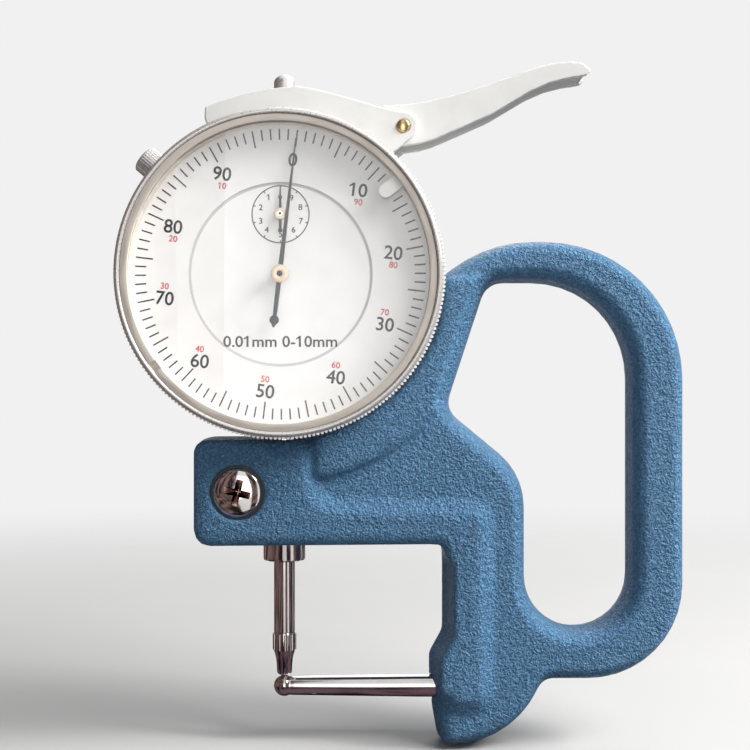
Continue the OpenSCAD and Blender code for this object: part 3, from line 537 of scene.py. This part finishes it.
# bezel with its grip
bezel = {"segments": 240, "ridges": 240, "ridgeWidth": 0.62, "ridgeHeight": 0.42, "ridgeRadius": 29.52,
         "gripFrom": 8.5, "gripTo": 12.1}
bezelProfile = [(27.08, 8.0), (29.2, 8.0), (29.4, 8.15), (29.4, 14.1), (29.36, 14.45), (29.24, 14.72),
                (29.02, 14.92), (28.8, 15.0), (28.62, 14.98), (28.46, 14.9), (28.35, 14.72), (28.35, 13.6),
                (28.6, 13.6), (28.6, 9.3), (28.1, 9.3), (28.1, 8.7), (27.08, 8.7)]
dialPlace = facing(dialAt.x, 0, dialAt.z)
grip = grown(ridgeTree, ridgeIds, {
    "Count": bezel["ridges"], "Radius": bezel["ridgeRadius"] * mm, "Width": bezel["ridgeWidth"] * mm,
    "Height": bezel["ridgeHeight"] * mm, "Length": (bezel["gripTo"] - bezel["gripFrom"]) * mm,
    "Finish": finishes["bezel_metal"]},
    dialPlace @ Matrix.Translation((0, 0, (bezel["gripFrom"] + bezel["gripTo"]) / 2 * mm)))
bezelMesh = joinedMesh("bezelRing", [
    turnedMesh("bezelBody", bezelProfile, bezel["segments"], dialPlace, closed=True), softShade(grip, gripAngle)])
addPiece("bezelRing", softShade(bezelMesh, gripAngle), "bezel", "bezel_metal", ["bezel_ring"])
print("bezel done")

# pieces that keep the shape of their solids, with finer edges
edges = {"limit_ring": ("limitRing", 0.12), "main_pointer": ("mainPointer", 0.05),
         "small_pointer": ("smallPointer", 0.04), "main_hub": ("mainHub", 0.08),
         "small_hub": ("smallHub", 0.06), "spindle_rod": ("spindleRod", 0.0),
         "dial_case": ("dialCase", 0.0), "back_cover": ("backCover", 0.0),
         "cover_screws": ("coverScrews", 0.06), "scale_ring": ("scaleRing", 0.0),
         "spacer_ring": ("spacerRing", 0.0), "inner_dial": ("innerDial", 0.0)}
for node, (name, edge) in edges.items():
    addPiece(name, edgedCopy(node, name, edge), bodyOf[node], slotOf[node], [node],
             material=hubBrass if node in ("main_hub", "small_hub") else None)
cadNodes["crystal"].visible_shadow = False
print("edged copies:", len(edges))

# turned pieces
rod = {"segments": 64, "ballAt": -2.0, "ball": 2.0, "end": 43.2, "neck": 1.8, "thick": 2.15, "seat": 25.8}
ballArc = [(rod["ball"] * math.sin(math.radians(a)), -rod["ball"] * math.cos(math.radians(a)))
           for a in range(0, 126, 9)]
rodProfile = ballArc + [(rod["neck"], 1.3), (rod["neck"] + 0.03, 2.0), (rod["thick"], rod["seat"]),
                        (rod["thick"], rod["end"] - 0.3), (rod["thick"] - 0.3, rod["end"]), (0, rod["end"])]
rodPlace = Matrix.Translation((0, 0, rod["ballAt"] * mm)) @ Matrix.Rotation(math.radians(90), 4, "Y")
addPiece("anvilRod", turnedMesh("anvilRod", rodProfile, rod["segments"], rodPlace), "frame", "steel", ["anvil"])

stem = {"segments": 72, "outer": 4.0, "inner": 2.5, "low": 21.8, "high": 49.5}
stemProfile = [(stem["inner"], stem["low"] + 0.2), (stem["inner"] + 0.2, stem["low"]),
               (stem["outer"] - 0.45, stem["low"]), (stem["outer"] - 0.1, stem["low"] + 0.15),
               (stem["outer"], stem["low"] + 0.5), (stem["outer"], stem["high"]), (stem["inner"], stem["high"])]
addPiece("stemTube", turnedMesh("stemTube", stemProfile, stem["segments"], Matrix.Identity(4), closed=True),
         "frame", "steel", ["stem"])

contact = {"segments": 56, "ridges": 26, "low": 4.9, "high": 7.9, "radius": 2.06, "width": 0.4, "height": 0.19}
contactProfile = [(0, 0.02), (0.4, 0.03), (0.75, 0.06), (1.0, 0.12), (1.2, 0.24), (1.34, 0.4), (1.4, 0.6),
                  (1.48, 2.0), (1.6, 3.2), (1.82, 4.1), (1.95, 4.5), (2.0, 4.7), (2.05, 4.8), (2.05, 8.0),
                  (1.95, 8.15), (1.8, 8.3), (0.85, 8.3), (0.85, 10.7), (0, 10.7)]
contactGrip = grown(ridgeTree, ridgeIds, {
    "Count": contact["ridges"], "Radius": contact["radius"] * mm, "Width": contact["width"] * mm,
    "Height": contact["height"] * mm, "Length": (contact["high"] - contact["low"]) * mm,
    "Finish": finishes["steel"]},
    Matrix.Translation((0, 0, (contact["low"] + contact["high"]) / 2 * mm)))
contactMesh = joinedMesh("contactPoint", [
    turnedMesh("contactBody", contactProfile, contact["segments"], Matrix.Identity(4)), contactGrip])
addPiece("contactPoint", softShade(contactMesh, gripAngle), "spindle", "steel", ["contact_point"])

cap = {"segments": 56, "peg": 0.75, "pegRise": 2.4, "neck": 1.3, "brim": 3.0, "dome": 2.0, "domeRise": 1.5,
       "brimDrop": 5.3}
capLow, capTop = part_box("lift_cap")[0].z / mm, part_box("lift_cap")[1].z / mm
capBrim = capTop - cap["brimDrop"]
capDome = [(cap["dome"] * math.cos(math.radians(t)),
            capTop - cap["domeRise"] + cap["domeRise"] * math.sin(math.radians(t))) for t in range(0, 86, 12)]
capProfile = [(0, capLow), (cap["peg"], capLow), (cap["peg"], capLow + cap["pegRise"]),
              (cap["neck"], capLow + cap["pegRise"]), (cap["neck"], capBrim),
              (cap["brim"] - 0.15, capBrim), (cap["brim"], capBrim + 0.15), (cap["brim"], capBrim + 0.5),
              (cap["brim"] - 0.2, capBrim + 0.7), (cap["dome"], capBrim + 1.0)] + capDome + [(0, capTop)]
addPiece("liftCap", turnedMesh("liftCap", capProfile, cap["segments"], Matrix.Identity(4)),
         "spindle", "chrome", ["lift_cap"], material=finishes["bezel_metal"])

pin = {"segments": 40, "x": 22.4, "z": 102.9, "radius": 1.25, "half": 6.0}
pinProfile = [(0, -pin["half"] - 0.3), (pin["radius"] - 0.25, -pin["half"] - 0.3),
              (pin["radius"], -pin["half"] - 0.1), (pin["radius"], pin["half"] + 0.1),
              (pin["radius"] - 0.08, pin["half"] + 0.25),
              (pin["radius"] - 0.35, pin["half"] + 0.38), (0, pin["half"] + 0.45)]
pinPlace = facing(pin["x"] * mm, 0, pin["z"] * mm)
addPiece("pivotPin", turnedMesh("pivotPin", pinProfile, pin["segments"], pinPlace),
         "frame", "brass", ["pivot_pin"])

# clamp screw with a domed head and a cross recess, and a black ring round and behind its head in the counterbore
# gap, painted shade for that gap
clamp = {"segments": 72, "head": 4.5, "under": 3.0, "shank": 2.45, "end": -5.0, "front": 7.5,
         "turn": -13, "top": (2.8, 0.72), "bottom": (0.5, 0.06), "above": 0.25, "deep": 2.3}
gapShade = {"inner": 4.4, "outer": 5.08, "back": 2.6, "face": 1.3}


def taperedBlock(top, bottom, high, low, place):
    work = bmesh.new()
    corners = ((-1, -1), (1, -1), (1, 1), (-1, 1))
    upper = [work.verts.new((sx * top[0] * mm, sy * top[1] * mm, high * mm)) for sx, sy in corners]
    lower = [work.verts.new((sx * bottom[0] * mm, sy * bottom[1] * mm, low * mm)) for sx, sy in corners]
    work.faces.new(upper)
    work.faces.new(lower)
    for k in range(4):
        work.faces.new((upper[k], upper[(k + 1) % 4], lower[(k + 1) % 4], lower[k]))
    bmesh.ops.recalc_face_normals(work, faces=work.faces)
    work.transform(place)
    mesh = bpy.data.meshes.new("block")
    work.to_mesh(mesh)
    work.free()
    return mesh


def carved(mesh, block):
    tool = bpy.data.objects.new("tool", block)
    bpy.context.scene.collection.objects.link(tool)

    def cut(holder):
        boolean = holder.modifiers.new("cut", "BOOLEAN")
        boolean.object = tool
        boolean.solver = "EXACT"
    result = settled(mesh, cut)
    bpy.data.objects.remove(tool)
    return result


clampAt = middle("clamp_screw")
clampPlace = facing(clampAt.x, 0, clampAt.z)
front = clamp["front"]
clampProfile = [(0, front), (1.4, front - 0.03), (2.6, front - 0.13), (3.4, front - 0.30), (4.0, front - 0.52),
                (4.45, front - 0.76), (clamp["head"], front - 0.82), (clamp["head"], front - 2.9),
                (clamp["head"] - 0.1, front - clamp["under"]), (clamp["shank"], front - clamp["under"]),
                (clamp["shank"], clamp["end"]), (0, clamp["end"])]
clampMesh = turnedMesh("clampBody", clampProfile, clamp["segments"], clampPlace)
for turn in (clamp["turn"], clamp["turn"] + 90):
    clampMesh = carved(clampMesh, taperedBlock(
        clamp["top"], clamp["bottom"], front + clamp["above"], front - clamp["deep"],
        clampPlace @ Matrix.Rotation(math.radians(turn), 4, "Z")))
addPiece("clampScrew", softShade(clampMesh, turnedAngle), "frame", "chrome", ["clamp_screw"], material=screwPlatePaintedShade)
# black ring in the counterbore gap: painted shade
gapShadeProfile = [(gapShade["inner"], front - gapShade["back"]), (gapShade["outer"], front - gapShade["back"]),
                 (gapShade["outer"], front - gapShade["face"]), (gapShade["inner"], front - gapShade["face"])]
addPiece("clampGapShade", turnedMesh("clampGapShade", gapShadeProfile, clamp["segments"], clampPlace, closed=True),
         "frame", "pointer_black")

lock = {"segments": 48, "angle": 139.5, "from": 26.8, "y": -4.7, "ridges": 30, "radius": 2.42, "width": 0.42,
        "height": 0.18, "gripLong": 2.9, "gripAt": 5.4}
lockProfile = [(0, 0), (1.25, 0), (1.25, 3.65), (2.2, 3.65), (2.4, 3.85), (2.4, 6.9), (2.3, 7.1), (2.0, 7.25),
               (0, 7.3)]
lockPlace = (Matrix.Translation((dialAt.x, lock["y"] * mm, dialAt.z))
             @ Matrix.Rotation(math.radians(90 - lock["angle"]), 4, "Y")
             @ Matrix.Translation((0, 0, lock["from"] * mm)))
lockGrip = grown(ridgeTree, ridgeIds, {
    "Count": lock["ridges"], "Radius": lock["radius"] * mm, "Width": lock["width"] * mm,
    "Height": lock["height"] * mm, "Length": lock["gripLong"] * mm, "Finish": finishes["bezel_metal"]},
    lockPlace @ Matrix.Translation((0, 0, lock["gripAt"] * mm)))
lockMesh = joinedMesh("lockScrew", [turnedMesh("lockBody", lockProfile, lock["segments"], lockPlace), lockGrip])
addPiece("lockScrew", softShade(lockMesh, gripAngle), "lock", "bezel_metal", ["lock_screw"])
print("turned pieces done")

# white tab of the limit ring, and a grey ring over the gap round the inner dial, painted shade for the step's
# shadow line
tab = {"angle": 37.3, "from": 24.0, "to": 27.2, "half": 1.23, "back": 13.77, "front": 14.28}
work = bmesh.new()
rounding = [(tab["from"] - tab["half"] * math.sin(math.radians(t)), tab["half"] * math.cos(math.radians(t)))
            for t in range(0, 181, 15)]
outline = [(tab["to"], -tab["half"]), (tab["to"], tab["half"])] + rounding
sheet = work.faces.new([work.verts.new((x * mm, y * mm, tab["back"] * mm)) for x, y in outline])
lifted = bmesh.ops.extrude_face_region(work, geom=[sheet])
bmesh.ops.translate(work, verts=[v for v in lifted["geom"] if isinstance(v, bmesh.types.BMVert)],
                    vec=(0, 0, (tab["front"] - tab["back"]) * mm))
bmesh.ops.recalc_face_normals(work, faces=work.faces)
work.transform(dialPlace @ Matrix.Rotation(math.radians(tab["angle"]), 4, "Z"))
tabMesh = bpy.data.meshes.new("limitTab")
work.to_mesh(tabMesh)
work.free()
addPiece("limitTab", softShade(tabMesh, gripAngle), "limit", "white_paint")

# grey ring at the step round the inner dial: painted shadow line
seam = {"segments": 160, "inner": 16.25, "outer": 16.73, "sunk": -0.05, "lift": 0.02}
seamShadePaint = evenPaint("seamShadeGrey", {"colour": fromScreen(190, 187, 187), "rough": 0.6})
seamProfile = [(seam["inner"], seam["sunk"]), (seam["outer"], seam["sunk"]),
               (seam["outer"], seam["lift"]), (seam["inner"], seam["lift"])]
seamPlace = facing(dialAt.x, innerFace, dialAt.z)
addPiece("dialSeamShade", turnedMesh("dialSeamShade", seamProfile, seam["segments"], seamPlace, closed=True),
         "frame", "dial_white", material=seamShadePaint)
print("tab and seam done")

# printing on the dial
printing = {"depth": 0.025, "ticks": 100, "edge": 26.4, "short": 2.0, "long": 3.1, "width": 0.26, "bold": 0.012,
            "numberHeight": 2.5, "numberRadius": 21.15, "shift": (-0.25, -0.2), "turn": 6.8, "longEvery": 5,
            "redHeight": 1.15, "redStep": 2.2, "redBelow": (1, 2, 8, 9), "lineSegments": 160}


def markMesh(values, centre, face, turn):
    inputs = {label: value if isinstance(value, int) else value * mm for label, value in values.items()}
    place = facing(centre.x, face - printing["depth"] * mm / 2, centre.z)
    place = place @ Matrix.Rotation(math.radians(turn), 4, "Z")
    return grown(markTree, markIds, dict(inputs, Ink=blackInk, Depth=printing["depth"] * mm), place)


def textMesh(words, align="CENTER"):
    curve = bpy.data.curves.new("words", "FONT")
    curve.body = words
    curve.align_x = align
    curve.size = 1.0
    curve.offset = printing["bold"]
    curve.resolution_u = 4
    holder = bpy.data.objects.new("words", curve)
    bpy.context.scene.collection.objects.link(holder)
    mesh = bpy.data.meshes.new_from_object(holder.evaluated_get(bpy.context.evaluated_depsgraph_get()))
    bpy.data.objects.remove(holder)
    return mesh


def spread(mesh):
    return min(v.co.x for v in mesh.vertices), max(v.co.x for v in mesh.vertices)


digitTop = max(v.co.y for v in textMesh("0").vertices)
digitLow = min(v.co.y for v in textMesh("0").vertices)
digitTall = digitTop - digitLow
oneLeft, oneRight = spread(textMesh("1"))
oneWide = oneRight - oneLeft
oneFlag = ((0.02, 0.0), (-0.06, 0.08), (-0.17, 0.15), (-0.17, 0.24), (-0.06, 0.19), (0.02, 0.15))
four = {"stem": (0.3, 0.398), "bar": (0.224, 0.312), "ends": (0.011, 0.471),
        "slope": ((0.011, 0.269), (0.356, 0.691)), "hole": (0.142, 0.5085),
        "grow": {"base": 0.375, "peak": 0.5, "corner": 2.087, "roof": 2.84}, "margin": 0.01, "weld": 0.0005}


def fourFaces():
    bold = printing["bold"]
    left, right = four["stem"][0] - bold, four["stem"][1] + bold
    under, over = four["bar"][0] - bold, four["bar"][1] + bold
    first, last = four["ends"][0] - bold, four["ends"][1] + bold
    base, peak = four["slope"]
    grow = four["grow"]
    slope = ((base[0] - bold, base[1] + grow["base"] * bold), (peak[0] - grow["peak"] * bold, peak[1] + bold))
    bend = slope[0][0] + (over - slope[0][1]) * (slope[1][0] - slope[0][0]) / (slope[1][1] - slope[0][1])
    tip, roof = alongSteps(slope, left), four["hole"][1] - grow["roof"] * bold
    corner = four["hole"][0] + grow["corner"] * bold
    return [[(left, -bold), (right, -bold), (right, under), (left, under)],
            [(first, under), (left, under), (right, under), (last, under), (last, over), (right, over),
             (left, over), (corner, over), (bend, over), slope[0]],
            [(bend, over), (corner, over), (left, roof), (left, tip)],
            [(left, over), (right, over), (right, slope[1][1]), slope[1], (left, tip), (left, roof)]]


def lettering(words, height, x, z, turn, face, width=1.0):
    flat = textMesh(words)
    work = bmesh.new()
    work.from_mesh(flat)
    shift = spread(flat)[0] - spread(textMesh(words, "LEFT"))[0]
    for at, letter in enumerate(words):
        if letter == "1":      # the font's one is a bare bar, so it gets its flag
            side = spread(textMesh(words[:at + 1], "LEFT"))[1] + shift - oneWide
            work.faces.new([work.verts.new((side + across, digitTop - drop, 0)) for across, drop in oneFlag])
    if words[0] == "4":      # the font's four closes up when it is set bolder
        end = shift + spread(textMesh("4", "LEFT"))[1] + four["margin"]
        bmesh.ops.delete(work, geom=[v for v in work.verts if v.co.x < end], context="VERTS")
        for corners in fourFaces():
            work.faces.new([work.verts.new((across + shift, up, 0)) for across, up in corners])
        bmesh.ops.remove_doubles(work, verts=work.verts, dist=four["weld"])
    scale = height / digitTall * mm
    depth = printing["depth"] * mm
    top = bmesh.ops.extrude_face_region(work, geom=work.faces[:])
    moved = [v for v in top["geom"] if isinstance(v, bmesh.types.BMVert)]
    bmesh.ops.translate(work, verts=moved, vec=(0, 0, 1.0))
    work.transform(Matrix.Diagonal((scale * width, scale, depth, 1))
                   @ Matrix.Translation((0, -(digitTop + digitLow) / 2, 0)))
    bmesh.ops.recalc_face_normals(work, faces=work.faces)
    work.transform(facing(x, face, z) @ Matrix.Rotation(math.radians(turn), 4, "Z"))
    mesh = bpy.data.meshes.new("letters")
    work.to_mesh(mesh)
    work.free()
    return mesh


def ringMesh(centre, face, inner, outer):
    depth = printing["depth"]
    return turnedMesh("line", [(inner, 0), (outer, 0), (outer, depth), (inner, depth)], printing["lineSegments"],
                      facing(centre.x, face, centre.z), closed=True)


scaleMarks = markMesh({"Count": printing["ticks"], "Radius": printing["edge"], "Short": printing["short"],
                       "Long": printing["long"], "Every": printing["longEvery"], "Width": printing["width"]},
                      dialAt, scaleFace, 90 - printing["turn"])
addPiece("scaleMarks", scaleMarks, "bezel", "pointer_black", material=blackInk)

blackNumbers, redNumbers = [], []
for k in range(10):
    heading = math.radians(36 * k + printing["turn"])
    x = dialAt.x + (printing["numberRadius"] * math.sin(heading) + printing["shift"][0]) * mm
    z = dialAt.z + (printing["numberRadius"] * math.cos(heading) + printing["shift"][1]) * mm
    blackNumbers.append(lettering(str(10 * k), printing["numberHeight"], x, z, -printing["turn"], scaleFace))
    if k:
        step = printing["redStep"] * mm * (-1 if k in printing["redBelow"] else 1)
        redNumbers.append(lettering(str(100 - 10 * k), printing["redHeight"], x, z + step,
                                    -printing["turn"], scaleFace))
addPiece("scaleNumbers", joinedMesh("scaleNumbers", blackNumbers), "bezel", "pointer_black", material=blackInk)
addPiece("reverseNumbers", joinedMesh("reverseNumbers", redNumbers), "bezel", "pointer_black", material=redInk)

counter = {"radius": 5.28, "line": 0.2, "ticks": 10, "tick": 0.55, "tickWidth": 0.18, "tall": 1.1,
           "range": ("0.01mm 0-10mm", 2.05, -13.2, 1.07),
           "digits": ((-2.15, 3.13), (-3.6, 1.26), (-3.6, -1.2), (-2.5, -2.8), (0, -3.6), (2.35, -2.8),
                      (3.7, -1.2), (3.6, 1.3), (2.0, 3.0))}
counterParts = [ringMesh(subAt, innerFace, counter["radius"] - counter["line"], counter["radius"]),
                markMesh({"Count": counter["ticks"], "Radius": counter["radius"], "Short": counter["tick"],
                          "Long": counter["tick"], "Every": 1, "Width": counter["tickWidth"]},
                         subAt, innerFace, 90)]
counterParts += [lettering(str(n + 1), counter["tall"], subAt.x + x * mm, subAt.z + z * mm, 0, innerFace)
                 for n, (x, z) in enumerate(counter["digits"])]
words, tall, drop, wide = counter["range"]
counterParts.append(lettering(words, tall, dialAt.x, dialAt.z + drop * mm + tall / 2 * mm, 0, innerFace, wide))
addPiece("counterPrint", joinedMesh("counterPrint", counterParts), "frame", "pointer_black", material=blackInk)

hubDots = {"main_hub": ("mainHubDot", 0.5), "small_hub": ("smallHubDot", 0.32)}
for node, (name, radius) in hubDots.items():
    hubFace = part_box(node)[0].y
    at = middle(node)
    profile = [(0, -0.3), (radius, -0.3), (radius, 0.0), (radius * 0.8, 0.06), (radius * 0.45, 0.1), (0, 0.11)]
    addPiece(name, turnedMesh(name, profile, 32, facing(at.x, hubFace, at.z)), bodyOf[node], "pointer_black")
print("printing done")

# floor, backdrop and lamps
studio = {"background": 0.88, "ambient": 0.15, "floor": 0.63, "bounce": 0.14, "near": 0.06, "far": 0.45,
          "radius": 0.5, "centre": 0.02, "below": 0.0002, "aim": (0.02, 0, 0.05)}
floorMesh = bpy.data.meshes.new("floor")
work = bmesh.new()
bmesh.ops.create_circle(work, cap_ends=True, radius=studio["radius"], segments=96)
work.to_mesh(floorMesh)
work.free()
floor = bpy.data.objects.new("floor", floorMesh)
floor.location = (studio["centre"], 0, cadLow.z - studio["below"])
bpy.context.scene.collection.objects.link(floor)
floorPaint, tree, shader, place = startMaterial("paleFloor")
tone = between(tree, grain(tree, place, 40.0), level(studio["floor"] * 0.98), level(studio["floor"]))
bounce = tree.nodes.new("ShaderNodeLightPath").outputs["Is Diffuse Ray"]
tree.links.new(mixColour(tree, bounce, tone, level(studio["bounce"])), shader.inputs["Base Color"])
shader.inputs["Roughness"].default_value = 0.7
shader.inputs["Specular IOR Level"].default_value = 0.0
away = tree.nodes.new("ShaderNodeVectorMath")
away.operation = "LENGTH"
tree.links.new(place, away.inputs[0])
fade = tree.nodes.new("ShaderNodeMapRange")
fade.interpolation_type = "SMOOTHSTEP"
for label, value in (("From Min", studio["near"]), ("From Max", studio["far"]), ("To Min", 1.0), ("To Max", 0.0)):
    fade.inputs[label].default_value = value
tree.links.new(away.outputs["Value"], fade.inputs["Value"])
tree.links.new(fade.outputs[0], shader.inputs["Alpha"])
floorMesh.materials.append(floorPaint)

world = bpy.data.worlds.new("studio")
bpy.context.scene.world = world
world.use_nodes = True
tree = world.node_tree
tree.nodes.clear()
path = tree.nodes.new("ShaderNodeLightPath")
plain = tree.nodes.new("ShaderNodeBackground")
plain.inputs["Color"].default_value = level(studio["background"])
soft = tree.nodes.new("ShaderNodeBackground")
soft.inputs["Color"].default_value = (0.97, 0.985, 1.0, 1)
soft.inputs["Strength"].default_value = studio["ambient"]
seen = mathNode(tree, "MAXIMUM", path.outputs["Is Camera Ray"],
                mathNode(tree, "MAXIMUM", path.outputs["Is Glossy Ray"], path.outputs["Is Transmission Ray"]))
seen = mathNode(tree, "MULTIPLY", seen, mathNode(tree, "LESS_THAN", path.outputs["Diffuse Depth"], 0.5))
both = tree.nodes.new("ShaderNodeMixShader")
tree.links.new(seen, both.inputs[0])
tree.links.new(soft.outputs[0], both.inputs[1])
tree.links.new(plain.outputs[0], both.inputs[2])
result = tree.nodes.new("ShaderNodeOutputWorld")
tree.links.new(both.outputs[0], result.inputs[0])

lamps = {"keyLamp": {"at": (0.42, -0.28, 0.47), "size": 0.36, "power": 2.8, "colour": (1.0, 0.985, 0.96)},
         "edgeLamp": {"at": (0.50, -0.10, 0.40), "size": 0.22, "power": 3.7, "colour": (1.0, 0.99, 0.97)},
         "fillLamp": {"at": (0.06, -0.56, 0.10), "size": 0.34, "power": 0.48, "colour": (0.97, 0.985, 1.0)},
         "backLamp": {"at": (0.10, 0.38, 0.42), "size": 0.30, "power": 0.9, "colour": (1.0, 1.0, 1.0)}}
for name, lamp in lamps.items():
    light = bpy.data.lights.new(name, "AREA")
    light.energy = lamp["power"]
    light.size = lamp["size"]
    light.color = lamp["colour"]
    lampObject = bpy.data.objects.new(name, light)
    lampObject.location = lamp["at"]
    aim = Vector(studio["aim"]) - Vector(lamp["at"])
    lampObject.rotation_euler = aim.to_track_quat("-Z", "Y").to_euler()
    bpy.context.scene.collection.objects.link(lampObject)

# dark warm cards round the object and on its floor, which only polished metal mirrors
cards = {"centre": (0.005, 0.0, 0.03), "distance": 0.40, "rows": 8, "columns": 24, "near": 0.055,
         "inner": 0.0005, "above": 0.0003,
         "turns": ((-158, -9), (12, 36), (52, 97), (111, 158)), "rise": (-18, 64),
         "far": {"streak": 45.0, "dark": (0.02, 0.012, 0.012), "mid": (0.25, 0.165, 0.16)},
         "close": {"streak": 24.0, "dark": (0.008, 0.006, 0.009), "mid": (0.16, 0.10, 0.125)}}
cardCentre = Vector(cards["centre"])
cardFloor = cadLow.z + cards["above"]


def wrapped(turn, rise):
    turn, rise = math.radians(turn), math.radians(rise)
    outward = Vector((math.cos(rise) * math.sin(turn), -math.cos(rise) * math.cos(turn), math.sin(rise)))
    return cardCentre + cards["distance"] * outward


def onFloor(turn, away):
    turn = math.radians(turn)
    return Vector((cardCentre.x + away * math.sin(turn), -away * math.cos(turn), cardFloor))


def addSheet(work, spot, turns, heights, index):
    rows, columns = cards["rows"], cards["columns"]
    grid = [[work.verts.new(spot(turns[0] + (turns[1] - turns[0]) * k / columns,
                                 heights[0] + (heights[1] - heights[0]) * i / rows))
             for k in range(columns + 1)] for i in range(rows + 1)]
    for under, over in zip(grid, grid[1:]):
        for k in range(columns):
            work.faces.new((under[k], under[k + 1], over[k + 1], over[k])).material_index = index


def cardMaterial(name, look):
    material, tree, shader, place = startMaterial(name)
    shader.inputs["Base Color"].default_value = (0, 0, 0, 1)
    shader.inputs["Specular IOR Level"].default_value = 0.0
    streaks = grain(tree, place, look["streak"], 2.0, (1, 1, 0.03))
    tree.links.new(between(tree, streaks, look["dark"], look["mid"], 0.42, 0.58), shader.inputs["Emission Color"])
    shader.inputs["Emission Strength"].default_value = 1.0
    return material


work = bmesh.new()
for turns in cards["turns"]:
    addSheet(work, wrapped, turns, cards["rise"], 0)
    addSheet(work, onFloor, turns, (cards["near"], cards["distance"]), 0)
addSheet(work, onFloor, (-180, 180), (cards["inner"], cards["near"]), 1)
cardMesh = bpy.data.meshes.new("cards")
work.to_mesh(cardMesh)
work.free()
cardMesh.materials.append(cardMaterial("cardBoard", cards["far"]))
cardMesh.materials.append(cardMaterial("cardClose", cards["close"]))
cardObject = bpy.data.objects.new("cards", cardMesh)
bpy.context.scene.collection.objects.link(cardObject)
cardObject.visible_camera = False
cardObject.visible_diffuse = False
cardObject.visible_transmission = False
cardObject.visible_shadow = False
print("studio done")
